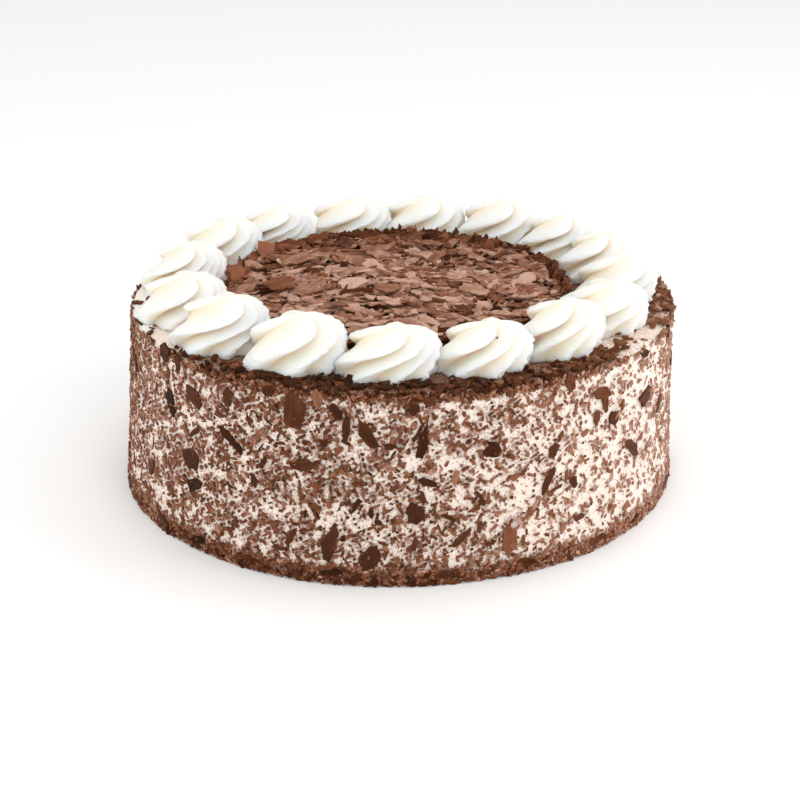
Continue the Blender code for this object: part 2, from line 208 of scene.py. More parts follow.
# Large flakes on the front: azimuth, height in mm, length, width, turn clockwise from upright
SHOWN_FLAKES = (
    (217, 79, 9, 7, 7), (227, 66, 13, 6, -45), (236, 71, 9, 5, 0), (250, 71, 18, 9, 2),
    (237, 53, 16, 4, -53), (226, 39, 10, 10, 5), (227, 28, 12, 5, 63), (252, 49, 12, 5, 82),
    (257, 16, 14, 5, -2), (219, 59, 13, 5, -15), (258, 72, 8, 4, -39), (260, 66, 13, 3, -1),
    (264, 63, 15, 5, -32), (274, 60, 17, 4, 13), (275, 44, 9, 3, -69), (273, 31, 10, 7, -4),
    (265, 12, 13, 7, 31), (258, 19, 18, 4, 10), (291, 16, 15, 6, -1), (299, 38, 13, 3, 29),
    (287, 55, 8, 7, 40), (312, 68, 12, 5, -75), (316, 55, 7, 6, -10), (282, 20, 10, 3, 40),
)

# Smaller flakes on the front, in the same form
SHOWN_CHIPS = (
    (211, 24, 9, 7, -15), (227, 51, 11, 3, 50), (242, 39, 7, 3, -8), (244, 47, 7, 3, 23),
    (250, 18, 9, 3, 26), (254, 31, 8, 1, -30), (255, 29, 5, 2, -23), (256, 59, 5, 4, -4),
    (260, 20, 4, 3, 11), (262, 34, 7, 3, 32), (265, 31, 5, 2, -9), (272, 74, 6, 5, -86),
    (273, 64, 10, 2, 32), (273, 18, 7, 3, 26), (279, 29, 7, 2, -63), (285, 36, 6, 2, -15),
    (300, 50, 7, 6, 0), (305, 34, 6, 5, 0), (307, 18, 6, 3, 74), (311, 58, 8, 4, -2),
    (313, 65, 13, 4, -2),
)

# Large plates on the bed: azimuth, distance from the middle in mm, length, width, turn in its own plane,
# azimuth that its face looks to, lean from flat, height above the core in mm, tone and warmth
SHOWN_PLATES = (
    (179, 70, 12, 8, 75, 300, 58, 4.0, 0.60, 0.80), (171, 68, 9, 6, 20, 290, 40, 3.4, 0.42, 0.30),
    (148, 71, 12, 10, 70, 285, 56, 4.6, 0.68, 0.70), (138, 71, 8, 5, 15, 280, 50, 3.6, 0.50, 0.75),
    (122, 71, 15, 7, 8, 285, 58, 3.8, 0.40, 0.25), (106, 71, 17, 6, 4, 272, 66, 3.4, 0.34, 0.05),
    (90, 71, 13, 5, -6, 262, 62, 3.4, 0.28, 0.00), (76, 71, 12, 6, 3, 262, 60, 3.6, 0.30, 0.00),
    (50, 71, 8, 7, 80, 250, 62, 3.8, 0.46, 0.60), (56, 72, 7, 6, 60, 255, 60, 3.6, 0.28, 0.10),
    (22, 70, 14, 7, 10, 235, 40, 3.6, 0.34, 0.00), (8, 71, 11, 6, -15, 215, 45, 3.4, 0.22, 0.00),
    (198, 52, 15, 12, 10, 280, 10, 4.8, 0.46, 0.25), (216, 22, 14, 11, 35, 270, 12, 4.6, 0.97, 0.00),
    (262, 24, 11, 8, -30, 270, 9, 4.6, 0.62, 0.25), (152, 46, 26, 6, 14, 285, 16, 4.6, 0.72, 0.10),
    (66, 32, 22, 6, -24, 265, 14, 4.6, 0.84, 0.00), (40, 46, 22, 6, -30, 250, 16, 4.4, 0.74, 0.00),
    (102, 42, 20, 5, 6, 270, 20, 4.4, 0.66, 0.10), (330, 40, 17, 8, -18, 255, 12, 4.4, 0.80, 0.00),
)


def linear(code):
    """Return the linear RGBA of an sRGB hex code."""
    channels = [int(code[i:i + 2], 16) / 255 for i in (1, 3, 5)]
    return [c / 12.92 if c <= 0.04045 else ((c + 0.055) / 1.055) ** 2.4 for c in channels] + [1.0]


def colour_property(name, description, code):
    """Return a colour property whose default is an sRGB hex code."""
    return FloatVectorProperty(
        name=name, description=description, default=linear(code)[:3], subtype="COLOR", min=0.0, max=1.0)


def length_property(name, description, default):
    """Return a length property in metres."""
    return FloatProperty(
        name=name, description=description, default=default, unit="LENGTH", min=0.0, precision=5)


def power_property(name, description, default):
    """Return the power of a light in watts."""
    return FloatProperty(name=name, description=description, default=default, unit="POWER", min=0.0)


def count_property(name, description, default, least=0):
    """Return a whole number of pieces or points."""
    return IntProperty(name=name, description=description, default=default, min=least)


class CreamSettings(bpy.types.PropertyGroup):
    """The whipped cream of the coat and the swirls."""

    colour: colour_property("Cream", "Colour of the whipped cream", "#F7F4ED")
    # Painted shade: the warm shade deep in the piped creases
    crease_shade_colour: colour_property("Crease", "Colour deep in the piped creases", "#F7E5CB")
    coat_colour: colour_property("Coat", "Colour of the spread coat, dulled by chocolate dust", "#F5E4D6")
    columns: count_property("Columns a ridge", "Points across each piped ridge", 21, 8)
    levels: count_property("Levels", "Points up each swirl", 64, 16)
    lumps: length_property("Lumps", "Height of the soft lumps in the piped cream", 0.00050)
    coat_step: length_property("Coat step", "Distance between the points of the spread coat", 0.0015)
    coat_relief: length_property("Coat relief", "Unevenness of the coat under the shavings", 0.00035)


class ShavingSettings(bpy.types.PropertyGroup):
    """The fine chocolate that covers the side."""

    crumbs: count_property("Crumbs", "Crumbs of 1 to 3 mm on the side", 12500)
    slivers: count_property("Slivers", "Slivers of 2 to 5 mm on the side", 5600)
    specks: count_property("Specks", "Specks of about 1 mm on the side", 8200)
    chips: count_property("Chips", "Flat chips of 3 to 7 mm on the side", 420)


class ChocolateSettings(bpy.types.PropertyGroup):
    """The chocolate's colours, and the flakes on top and round the foot."""

    # The deep colour is partly painted shade: the shade in the gaps, and the darkest flakes' own colour
    deep: colour_property("Deep", "Colour in gaps and on the darkest flakes", "#1D0A02")
    dark: colour_property("Dark", "Colour of the darker flakes", "#3F200B")
    milk: colour_property("Milk", "Colour of the usual milk chocolate flake", "#704329")
    pale: colour_property("Pale", "Colour of flakes that took on a bloom", "#9E735D")
    bloom: colour_property("Bloom", "Colour of the palest dusty patches", "#CAA490")
    warm: colour_property("Warm", "Colour of freshly broken reddish flakes", "#92583F")
    ledge_flakes: count_property("Ledge flakes", "Flakes on the ledge round the swirls", 1300)
    rim_chips: count_property("Rim chips", "Flakes that hang over the top edge", 900)
    foot_chips: count_property("Foot chips", "Flakes gathered round the foot", 760)
    bed_plates: count_property("Bed plates", "Broken plates on the bed", 1700)
    bed_height: length_property("Bed layers", "Height over which the bed's plates are layered", 0.0030)


class StageSettings(bpy.types.PropertyGroup):
    """Floor, lights and camera."""

    floor_colour: colour_property("Floor", "Colour of the plain floor", "#FEFEFD")
    floor_size: length_property("Floor size", "Side of the plain floor", 6.0)
    sky: FloatProperty(name="Sky", description="Strength of the light from all round", default=0.80, min=0.0)
    top_power: power_property("Top light", "Power of the soft top light", 7.2)
    right_power: power_property("Right light", "Power of the light on the right", 3.2)
    left_power: power_property("Left light", "Power of the light on the left", 1.9)
    front_power: power_property("Front light", "Power of the light in front", 5.0)


def per_metre(millimetres):
    """Return the texture scale whose pattern repeats about every so many millimetres."""
    return 1000.0 / millimetres


def feed(tree, node, inputs):
    """Give each named input of a node a value, or the socket that feeds it."""
    for name, value in inputs.items():
        if isinstance(value, bpy.types.NodeSocket):
            tree.links.new(value, node.inputs[name])
        else:
            node.inputs[name].default_value = value


def add_node(tree, kind, inputs=None, **settings):
    """Add a shader node with its settings, and feed its named inputs."""
    node = tree.nodes.new("ShaderNode" + kind)
    for name, value in settings.items():
        setattr(node, name, value)
    feed(tree, node, inputs or {})
    return node


def new_material(name):
    """Return a material, its node tree, its Principled shader and the function that adds a node to it."""
    material = bpy.data.materials.new(name)
    material.use_nodes = True
    tree = material.node_tree
    return material, tree, tree.nodes["Principled BSDF"], partial(add_node, tree)


def opaque(colour):
    """Return a colour property's value as RGBA."""
    return (*colour, 1.0)


# Whipped cream: fat and water scatter light over 1 to 2 mm, most of all the red, under a satin skin
CREAM_SHADER = {
    "Roughness": 0.42, "IOR": 1.4, "Subsurface Weight": 0.95, "Subsurface Radius": (1.0, 0.72, 0.48),
    "Subsurface Scale": 0.0075,
}


def piped_cream_material(cream):
    """Whipped dairy cream pushed through a star nozzle: satin, translucent, with warm shade painted deep in
    its creases.
    """
    material, tree, shader, add = new_material("whipped_cream_piped")
    place = add("TexCoord").outputs["Object"]
    # Painted shade: the mask turns the cream to the crease shade colour deep in the folds
    crease = add("Attribute", attribute_name="crease").outputs["Fac"]
    colours = {"Factor": crease, "A": opaque(cream.colour), "B": opaque(cream.crease_shade_colour)}
    tint = add("Mix", colours, data_type="RGBA")
    # Air bubbles are 0.1 mm across: drawn five times as coarse, so that they just show
    bubbles = add("TexNoise", {"Vector": place, "Scale": per_metre(0.5), "Detail": 2.0})
    folds = add("TexNoise", {"Vector": place, "Scale": per_metre(2.6), "Detail": 1.0})
    relief = add("Math", {0: bubbles.outputs["Fac"], 1: folds.outputs["Fac"]}, operation="ADD")
    bump = add("Bump", {"Height": relief.outputs[0], "Distance": 0.0001, "Strength": 0.55})
    feed(tree, shader, {"Base Color": tint.outputs[2], "Normal": bump.outputs["Normal"], **CREAM_SHADER})
    return material


def spread_cream_material(cream, chocolate):
    """Whipped cream spread with a palette knife, stained by the finest chocolate dust pressed into it."""
    material, tree, shader, add = new_material("whipped_cream_spread")
    place = add("TexCoord").outputs["Object"]
    dusting = add("Attribute", attribute_name="dusting").outputs["Fac"]
    # The finest dust can't be told apart: it dulls the cream evenly where the shavings lie thickest
    dulled = add("MapRange", {"Value": dusting, "From Min": 0.03, "From Max": 0.12}).outputs[0]
    colours = {"Factor": dulled, "A": opaque(cream.colour), "B": opaque(cream.coat_colour)}
    base = add("Mix", colours, data_type="RGBA")
    # Dust grains are under 0.2 mm: drawn as soft clusters of 1 mm, which is what the eye makes out
    grains = add("TexNoise", {"Vector": place, "Scale": per_metre(1.1), "Detail": 3.0, "Roughness": 0.6})
    thinly = add("Math", {0: dulled, 1: 0.34, 2: grains.outputs["Fac"]}, operation="MULTIPLY_ADD")
    shown = add("Math", {0: dusting, 1: 0.5, 2: thinly.outputs[0]}, operation="MULTIPLY_ADD")
    edges = {"Value": shown.outputs[0], "From Min": 0.90, "From Max": 1.36}
    mask = add("MapRange", edges, interpolation_type="SMOOTHSTEP")
    colours = {"Factor": mask.outputs[0], "A": base.outputs[2], "B": opaque(chocolate.milk)}
    dusted = add("Mix", colours, data_type="RGBA")
    bump = add("Bump", {"Height": grains.outputs["Fac"], "Distance": 0.0002, "Strength": 0.5})
    feed(tree, shader, {"Base Color": dusted.outputs[2], "Normal": bump.outputs["Normal"], **CREAM_SHADER,
                        "Subsurface Weight": 0.25})
    return material


def chocolate_material(name, chocolate, roughness, bloom):
    """Chocolate scraped off a block in thin flakes: matt, streaked along the scrape, with a dusty bloom."""
    material, tree, shader, add = new_material(name)
    place = add("Attribute", attribute_name="place").outputs["Vector"]
    tone = add("Attribute", attribute_name="tone").outputs["Fac"]
    warmth = add("Attribute", attribute_name="warmth").outputs["Fac"]
    # The blade leaves lines about 0.4 mm apart along each flake: drawn twice as coarse, so that they show
    stretched = add("Mapping", {"Vector": place, "Scale": (0.1, 1.0, 1.0)}).outputs[0]
    streaks = add("TexNoise", {"Vector": stretched, "Scale": per_metre(0.8), "Detail": 2.0}).outputs["Fac"]
    clouds = add("TexNoise", {"Vector": place, "Scale": per_metre(3.5), "Detail": 4.0}).outputs["Fac"]
    streaked = add("Math", {0: streaks, 1: 0.28, 2: tone}, operation="MULTIPLY_ADD")
    clouded = add("Math", {0: clouds, 1: bloom, 2: streaked.outputs[0]}, operation="MULTIPLY_ADD")
    # Both patterns lie round a half: half their strengths comes off again, so that the tone stays the middle
    middle = add("Math", {0: clouded.outputs[0], 1: 0.14 + bloom / 2}, operation="SUBTRACT")
    ramp = add("ValToRGB", {"Fac": middle.outputs[0]})
    tones = (chocolate.deep, chocolate.dark, chocolate.milk, chocolate.pale, chocolate.bloom)
    while len(ramp.color_ramp.elements) < len(tones):
        ramp.color_ramp.elements.new(0.5)
    for i, (element, colour) in enumerate(zip(ramp.color_ramp.elements, tones)):
        element.position = i / (len(tones) - 1)
        element.color = opaque(colour)
    colours = {"Factor": warmth, "A": ramp.outputs["Color"], "B": opaque(chocolate.warm)}
    warmed = add("Mix", colours, data_type="RGBA")
    relief = add("Math", {0: streaks, 1: clouds}, operation="ADD")
    bump = add("Bump", {"Height": relief.outputs[0], "Distance": 0.00025, "Strength": 0.7})
    # Cocoa butter that has dulled: the blade's marks scatter most of the gloss
    feed(tree, shader, {"Base Color": warmed.outputs[2], "Normal": bump.outputs["Normal"],
                        "Roughness": roughness, "IOR": 1.45, "Specular IOR Level": 0.07})
    return material


def floor_material(stage):
    """Matt white painted board: hardly any grain shows."""
    material, tree, shader, add = new_material("painted_board_matt")
    place = add("TexCoord").outputs["Object"]
    stipple = add("TexNoise", {"Vector": place, "Scale": per_metre(1.5)})
    bump = add("Bump", {"Height": stipple.outputs["Fac"], "Distance": 0.00002})
    feed(tree, shader, {"Normal": bump.outputs["Normal"], "Base Color": opaque(stage.floor_colour),
                        "Roughness": 0.9})
    return material


def kept_material(name, make, *settings):
    """Return the material of that name, made now if there is none."""
    return bpy.data.materials.get(name) or make(*settings)


def chocolate_of(name, scene):
    """Return the named chocolate, made now if there is none."""
    return kept_material(name, chocolate_material, name, scene.cake_chocolate, *CHOCOLATES[name])


def mesh_piece(name, points, faces, material, attributes=None, smooth=False):
    """Make a piece from points and faces, with one value a point for each named attribute."""
    mesh = bpy.data.meshes.new(name)
    mesh.from_pydata(points, [], faces)
    for key, values in (attributes or {}).items():
        values = np.asarray(values, dtype=np.float32)
        kind, field = ("FLOAT", "value") if values.ndim == 1 else ("FLOAT_VECTOR", "vector")
        mesh.attributes.new(key, kind, "POINT").data.foreach_set(field, values.ravel())
    mesh.materials.append(material)
    if smooth:
        mesh.shade_smooth()
    else:
        mesh.shade_flat()
    piece = bpy.data.objects.new(name, mesh)
    bpy.context.scene.collection.objects.link(piece)
    return piece


def settle(piece, slot, *nodes):
    """Put a piece on the cake's body and hide the solids that it stands for; the slot is not used."""
    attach(piece, "root")
    if nodes:
        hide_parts(*nodes)


def grain(points, size, seed):
    """Return smooth noise from about -1 to 1 at each point, its bumps that far apart."""
    shift = Vector((7.3, 3.1, 5.7)) * seed
    return np.array([noise.noise(Vector(point) / size + shift) for point in points])


def side_radius(azimuths, heights):
    """Radius of the coated side at azimuths in radians and heights, about the shifted axis."""
    rise = np.clip(heights / CAKE_HEIGHT, 0.0, 1.0)
    radius = TOP_RADIUS + (FOOT_RADIUS - TOP_RADIUS) * (1.0 - rise) ** FLARE_POWER
    wave = np.sin(3 * azimuths + 1.0) + 0.7 * np.sin(7 * azimuths + 2.0 + 40 * heights)
    return radius + SIDE_WAVE * wave


def round_points(shift, radius, azimuths, heights):
    """Points at that radius from an upright axis, which stands that far along +X."""
    x = shift + radius * np.cos(azimuths)
    return np.stack([x, radius * np.sin(azimuths), heights + 0 * radius], axis=-1)


def side_points(azimuths, heights, outwards):
    """Points on the coated side, or that far outside it."""
    radius = side_radius(azimuths, heights) + outwards
    return round_points(TOP_SHIFT * heights / CAKE_HEIGHT, radius, azimuths, heights)


def turned(axes, angles, about):
    """Turn an array of 3 by 3 frames about their own X, Y or Z axes."""
    first, second = {"X": (1, 2), "Y": (2, 0), "Z": (0, 1)}[about]
    angles = np.broadcast_to(angles, len(axes))
    cosine = np.cos(angles)[:, None]
    sine = np.sin(angles)[:, None]
    result = axes.copy()
    result[:, :, first] = cosine * axes[:, :, first] + sine * axes[:, :, second]
    result[:, :, second] = cosine * axes[:, :, second] - sine * axes[:, :, first]
    return result


def shaken(axes, spread, draw):
    """Tilt frames about their own Y, then X, by random angles of that spread in radians."""
    axes = turned(axes, draw.normal(0, spread, len(axes)), "Y")
    return turned(axes, draw.normal(0, spread, len(axes)), "X")


def side_axes(azimuths, heights):
    """Frames that lie on the side: X up the slope, Z out of the cake."""
    zero = np.zeros_like(azimuths)
    axes = np.stack([
        np.stack([zero, zero, zero + 1.0], axis=-1),
        np.stack([np.sin(azimuths), -np.cos(azimuths), zero], axis=-1),
        np.stack([np.cos(azimuths), np.sin(azimuths), zero], axis=-1),
    ], axis=-1)
    step = 0.001
    slope = (side_radius(azimuths, heights + step) - side_radius(azimuths, heights - step)) / (2 * step)
    return turned(axes, -np.arctan(slope), "Y")


def level_axes(count, turns):
    """Frames that lie flat, turned by those angles."""
    return turned(np.repeat(np.eye(3)[None], count, axis=0), turns, "Z")


def ragged(outlines, splits, roughness, draw):
    """Break each edge of the outlines into that many parts, with their points moved at random."""
    following = np.roll(outlines, -1, axis=1)
    shares = (np.arange(splits) / splits)[:, None]
    points = outlines[:, :, None] * (1 - shares) + following[:, :, None] * shares
    points = points + draw.normal(0.0, 1.0, points.shape) * np.reshape(roughness, (-1, 1, 1, 1))
    return points.reshape(len(outlines), -1, 2)


def broken_outlines(lengths, widths, corners, draw):
    """Return uneven polygons of about those lengths and widths, boxier than ellipses."""
    count = len(lengths)
    turns = np.arange(corners) + draw.uniform(-BREAK_JITTER, BREAK_JITTER, (count, corners))
    turns = (turns + draw.uniform(0, 1, (count, 1))) * 2 * np.pi / corners
    reach = draw.uniform(*BREAK_REACH, (count, corners)) / 2
    x = np.sign(np.cos(turns)) * np.abs(np.cos(turns)) ** BOXINESS * reach * lengths[:, None]
    y = np.sign(np.sin(turns)) * np.abs(np.sin(turns)) ** BOXINESS * reach * widths[:, None]
    return np.stack([x, y], axis=-1)


class SideKind(NamedTuple):
    """A kind of small piece on the side: ranges of its sizes and of its lift off the coat, and its looks."""

    lengths: tuple
    widths: tuple
    thickness: tuple
    lift: tuple
    corners: int
    tones: tuple
    tilt: float
    evenness: float = 0.0


class PlateKind(NamedTuple):
    """A kind of broken plate: ranges of its sizes, its edge and its looks.

    Widths are shares of the length, but metres on shards and slivers, and roughness is a share of the length.
    """

    lengths: tuple
    widths: tuple
    thickness: tuple
    corners: int
    splits: int
    roughness: float
    tilt: float
    tones: tuple
    fresh: float
    bends: tuple

    def outlines(self, lengths, widths, draw):
        """Return outlines of those sizes with ragged edges."""
        plain = broken_outlines(lengths, widths, self.corners, draw)
        return ragged(plain, self.splits, self.roughness * lengths, draw)

    def shades(self, change, draw):
        """Draw tones, each paler or darker by its change."""
        return np.clip(tones_about(len(change), *self.tones, draw) + change, 0.0, 1.0)

    def drawn(self, count, draw, bend_unit=1.0):
        """Draw the thickness, the warmth and the bend of each plate."""
        thickness = draw.uniform(*self.thickness, count)
        warmths = warmths_of(count, self.fresh, draw)
        return thickness, warmths, draw.uniform(*self.bends, count) * bend_unit

    def narrow_outlines(self, lengths, draw):
        """Return outlines of those lengths, their widths drawn too."""
        return self.outlines(lengths, lengths * draw.uniform(*self.widths, len(lengths)), draw)


SLIVERS = SideKind(
    lengths=(0.0022, 0.0050), widths=(0.0009, 0.0021), thickness=(0.0003, 0.0006), lift=(0.0, 0.0004),
    corners=5, tones=(0.40, 0.18), tilt=0.14)
CRUMBS = SideKind(
    lengths=(0.0014, 0.0029), widths=(0.0009, 0.0020), thickness=(0.0003, 0.0007), lift=(0.0, 0.0004),
    corners=4, tones=(0.40, 0.19), tilt=0.26)
SPECKS = SideKind(
    lengths=(0.0005, 0.0011), widths=(0.0003, 0.0007), thickness=(0.0002, 0.0004), lift=(0.0, 0.0002),
    corners=3, tones=(0.48, 0.18), tilt=0.30, evenness=0.6)
CHIPS = SideKind(
    lengths=(0.0030, 0.0070), widths=(0.0012, 0.0030), thickness=(0.0005, 0.0009), lift=(0.0002, 0.0007),
    corners=5, tones=(0.26, 0.16), tilt=0.07)

RIM_CHIP = PlateKind(
    lengths=(0.0018, 0.0048), widths=(0.3, 0.7), thickness=(0.0004, 0.0008), corners=5, splits=2,
    roughness=0.03, tilt=0.35, tones=(0.07, 0.17), fresh=0.05, bends=(-0.0001, 0.0003))
LEDGE_FLAKE = PlateKind(
    lengths=(0.0024, 0.0085), widths=(0.35, 0.8), thickness=(0.0005, 0.0009), corners=5, splits=2,
    roughness=0.03, tilt=0.26, tones=(0.07, 0.17), fresh=0.03, bends=(-0.0001, 0.0003))
FOOT_CHIP = PlateKind(
    lengths=(0.0018, 0.0050), widths=(0.35, 0.7), thickness=(0.0005, 0.0009), corners=5, splits=2,
    roughness=0.03, tilt=0.16, tones=(0.08, 0.14), fresh=0.02, bends=(-0.0001, 0.0002))
SMALL_PLATE = PlateKind(
    lengths=(0.0030, 0.0075), widths=(0.25, 0.65), thickness=(0.0004, 0.0008), corners=6, splits=3,
    roughness=0.035, tilt=0.40, tones=(0.84, 0.19), fresh=0.03, bends=(-0.02, 0.08))
MIDDLE_PLATE = SMALL_PLATE._replace(lengths=(0.0075, 0.0160), widths=(0.16, 0.48), tilt=0.22)
LARGE_PLATE = SMALL_PLATE._replace(lengths=(0.0150, 0.0250), widths=(0.18, 0.45), tilt=0.10)
LEANING_PLATE = PlateKind(
    lengths=(0.0045, 0.0105), widths=(0.45, 0.8), thickness=(0.0004, 0.0007), corners=5, splits=3,
    roughness=0.06, tilt=0.40, tones=(0.52, 0.14), fresh=0.05, bends=(-0.0002, 0.0006))
SHARD = PlateKind(
    lengths=(0.0050, 0.0100), widths=(0.0020, 0.0052), thickness=(0.0004, 0.0008), corners=4, splits=2,
    roughness=0.05, tilt=0.16, tones=(0.30, 0.12), fresh=0.04, bends=(-0.0002, 0.0004))
EDGE_SLIVER = PlateKind(
    lengths=(0.0080, 0.0190), widths=(0.0016, 0.0034), thickness=(0.0004, 0.0007), corners=6, splits=3,
    roughness=0.02, tilt=0.08, tones=(0.42, 0.16), fresh=0.05, bends=(0.0, 0.06))

# Layers of the bed: share of its plates, their kind, and how high in the layers they lie
BED_LAYERS = (
    (0.48, SMALL_PLATE, (0.0, 0.9)), (0.40, MIDDLE_PLATE, (0.2, 1.0)), (0.12, LARGE_PLATE, (0.6, 1.0)),
)

# Plates that lean on the swirls, slivers on edge, and shards: azimuth, spread and number of each group
LEANING_PLATES = 260
EDGE_SLIVERS = 120
SHARD_GROUPS = ((90, 30, 80), (8, 12, 30))

# Where the fine chocolate lies thinner on the side, and where its colour is painted paler, a painted
# highlight for the stronger light on the right and on the left: share, azimuth and half width
THINNER = ((0.39, 340, 62), (0.20, 195, 44))
PAINTED_HIGHLIGHTS = ((0.60, 350, 56), (0.28, 195, 40))

# Patches of the fine chocolate: how much they thicken or thin it, their size, and the noise's seed
COVER_PATCHES = ((0.10, 0.018, 1), (0.22, 0.0075, 2), (0.34, 0.0034, 3))
COVER = 0.53
LEAST_COVER = 0.09
RIM_COVER_START = 0.0762
RIM_COVER_FADE = 0.0018
FOOT_COVER = 0.85
FOOT_COVER_END = 0.0096
FOOT_COVER_FADE = 0.006

# Warmth of freshly broken reddish chocolate, and of all the rest
FRESH_WARMTH = (0.5, 1.0)
USUAL_WARMTH = (0.0, 0.18)


class PlateHeap:
    """Thin closed plates of chocolate, gathered as arrays and joined into one mesh."""

    def __init__(self):
        self.points = []
        self.faces = []
        self.values = {"tone": [], "warmth": [], "place": []}
        self.size = 0

    def add(self, outlines, axes, centres, thickness, tones, warmths, bend=None):
        """Add plates of equal corner counts; with bend given, their middles are arched by that height."""
        count, corners = outlines.shape[:2]
        half = np.broadcast_to(np.asarray(thickness) / 2, count)[:, None]
        flat = np.concatenate([outlines, outlines * UNDERSIDE_SHARE], axis=1)
        heights = np.concatenate([np.repeat(half, corners, 1), -np.repeat(half, corners, 1)], axis=1)
        if bend is not None:
            flat = np.concatenate([flat, np.zeros((count, 2, 2))], axis=1)
            heights = np.concatenate([heights, half + bend[:, None], bend[:, None] - half], axis=1)
        local = np.concatenate([flat, heights[..., None]], axis=-1)
        world = np.einsum("nij,npj->npi", axes, local) + centres[:, None]
        self.gather(world, local, tones, warmths, corners, bend is not None)

    def gather(self, world, local, tones, warmths, corners, arched):
        """Keep the points and faces of a batch of plates."""
        count, size = world.shape[:2]
        top = np.arange(corners)
        after = (top + 1) % corners
        base = self.size + size * np.arange(count)[:, None, None]
        sides = np.stack([top, top + corners, after + corners, after], axis=-1)
        self.faces += (base + sides).reshape(-1, 4).tolist()
        if arched:
            middle = np.full(corners, 2 * corners)
            upper = np.stack([top, after, middle], axis=-1)
            lower = np.stack([after + corners, top + corners, middle + 1], axis=-1)
            self.faces += (base + np.concatenate([upper, lower])).reshape(-1, 3).tolist()
        else:
            caps = np.stack([top, top[::-1] + corners])
            self.faces += (base + caps).reshape(-1, corners).tolist()
        self.points.append(world.reshape(-1, 3))
        self.values["tone"].append(np.repeat(tones, size))
        self.values["warmth"].append(np.repeat(warmths, size))
        apart = np.arange(count)[:, None, None] * np.array(PATTERN_STEPS)
        self.values["place"].append((local + apart).reshape(-1, 3))
        self.size += count * size

    def lay_down(self, name, material, *nodes):
        """Join the plates into one piece on the cake, none of it under the foot."""
        values = {key: np.concatenate(parts) for key, parts in self.values.items()}
        points = np.concatenate(self.points)
        points[:, 2] = np.maximum(points[:, 2], 0.0)
        settle(mesh_piece(name, points, self.faces, material, values), "chocolate", *nodes)


def tones_about(count, middle, spread, draw):
    """Draw tones round a middle one, 0 the darkest chocolate and 1 the palest."""
    return np.clip(draw.normal(middle, spread, count), 0.0, 1.0)


def warmths_of(count, share, draw):
    """Draw warmths: most flakes have hardly any, and a small share is freshly broken and reddish."""
    fresh = draw.uniform(0, 1, count) < share
    return np.where(fresh, draw.uniform(*FRESH_WARMTH, count), draw.uniform(*USUAL_WARMTH, count))


def towards(azimuths, degrees, half_width, power=2):
    """Share from 1 at an azimuth in degrees down to 0 far from it, with a steeper edge at a higher power."""
    away = np.angle(np.exp(1j * (azimuths - math.radians(degrees)))) / math.radians(half_width)
    return np.exp(-away ** power)


def rim_share(azimuths):
    """Share of the usual chocolate that the rim and the ledge have."""
    share = np.ones_like(azimuths)
    for degrees, half_width, missing in BARE_RIM:
        share = share - missing * towards(azimuths, degrees, half_width, 4)
    return share


def sum_towards(azimuths, places):
    """Sum of shares at azimuths, each strongest at its own place."""
    return sum(share * towards(azimuths, degrees, half_width) for share, degrees, half_width in places)


def painted_side_highlight(azimuths):
    """How much paler the chocolate is painted at azimuths: a painted highlight where more light falls on the
    side.
    """
    return sum_towards(azimuths, PAINTED_HIGHLIGHTS)


def shaving_cover(azimuths, heights):
    """Share of the side that the fine chocolate covers: most at the rim and the foot, patchy between."""
    points = side_points(azimuths, heights, 0.0)
    patches = sum(share * grain(points, size, seed) for share, size, seed in COVER_PATCHES)
    rim = np.clip((heights - RIM_COVER_START) / RIM_COVER_FADE, 0, 1) * rim_share(azimuths)
    foot = np.clip((FOOT_COVER_END - heights) / FOOT_COVER_FADE, 0, 1) * FOOT_COVER
    return np.clip(COVER + patches + rim + foot - sum_towards(azimuths, THINNER), LEAST_COVER, 1.0)


def scattered_on_side(count, draw, low=0.0006, high=CAKE_HEIGHT - 0.0004, evenness=0.0):
    """Spread places over the side, fewer where the fine chocolate covers less of it, or more evenly."""
    steps = np.arange(3 * count)
    azimuths = 2 * np.pi * (steps * EVEN_STEPS[0] + draw.uniform()) + draw.normal(0, 0.004, len(steps))
    heights = low + (high - low) * ((steps * EVEN_STEPS[1] + draw.uniform()) % 1.0)
    kept = draw.uniform(0, 1, len(steps)) < evenness + (1 - evenness) * shaving_cover(azimuths, heights)
    return azimuths[kept][:count] % (2 * np.pi), heights[kept][:count]


def add_side_pieces(heap, kind, azimuths, heights, draw):
    """Add small pieces at places on the side, each turned at random and a little tilted."""
    count = len(azimuths)
    axes = turned(side_axes(azimuths, heights), draw.uniform(0, np.pi, count), "Z")
    axes = shaken(axes, kind.tilt, draw)
    lengths = draw.uniform(*kind.lengths, count)
    outlines = broken_outlines(lengths, draw.uniform(*kind.widths, count), kind.corners, draw)
    centres = side_points(azimuths, heights, draw.uniform(*kind.lift, count))
    # Painted highlight: paler and warmer where more light falls on the side
    tones = np.clip(tones_about(count, *kind.tones, draw) + painted_side_highlight(azimuths), 0.0, 1.0)
    warmths = warmths_of(count, 0.02, draw) + 0.06 + 0.35 * painted_side_highlight(azimuths)
    heap.add(outlines, axes, centres, draw.uniform(*kind.thickness, count), tones, warmths)


def stepped(count):
    """Return shares from 0 to 1 whose steps close up towards both ends."""
    evenness = 0.35
    even = np.linspace(0.0, 1.0, count)
    return evenness * even + (1 - evenness) * (1 - np.cos(np.pi * even)) / 2


def loft_faces(rows, columns):
    """Quads between rows of points that close on themselves, lowest row first."""
    low = (np.arange(rows - 1) * columns)[:, None] + np.arange(columns)
    after = (np.arange(rows - 1) * columns)[:, None] + (np.arange(columns) + 1) % columns
    return np.stack([low, after, after + columns, low + columns], axis=-1).reshape(-1, 4).tolist()


def closed_loft(rings, bottom, tip):
    """Points and faces of a closed body through rings, with a middle point below and above."""
    rows, columns = rings.shape[:2]
    points = np.concatenate([rings.reshape(-1, 3), [bottom, tip]])
    faces = loft_faces(rows, columns)
    low = rows * columns
    last = (rows - 1) * columns
    faces += [((i + 1) % columns, i, low) for i in range(columns)]
    faces += [(last + i, last + (i + 1) % columns, low + 1) for i in range(columns)]
    return points, faces


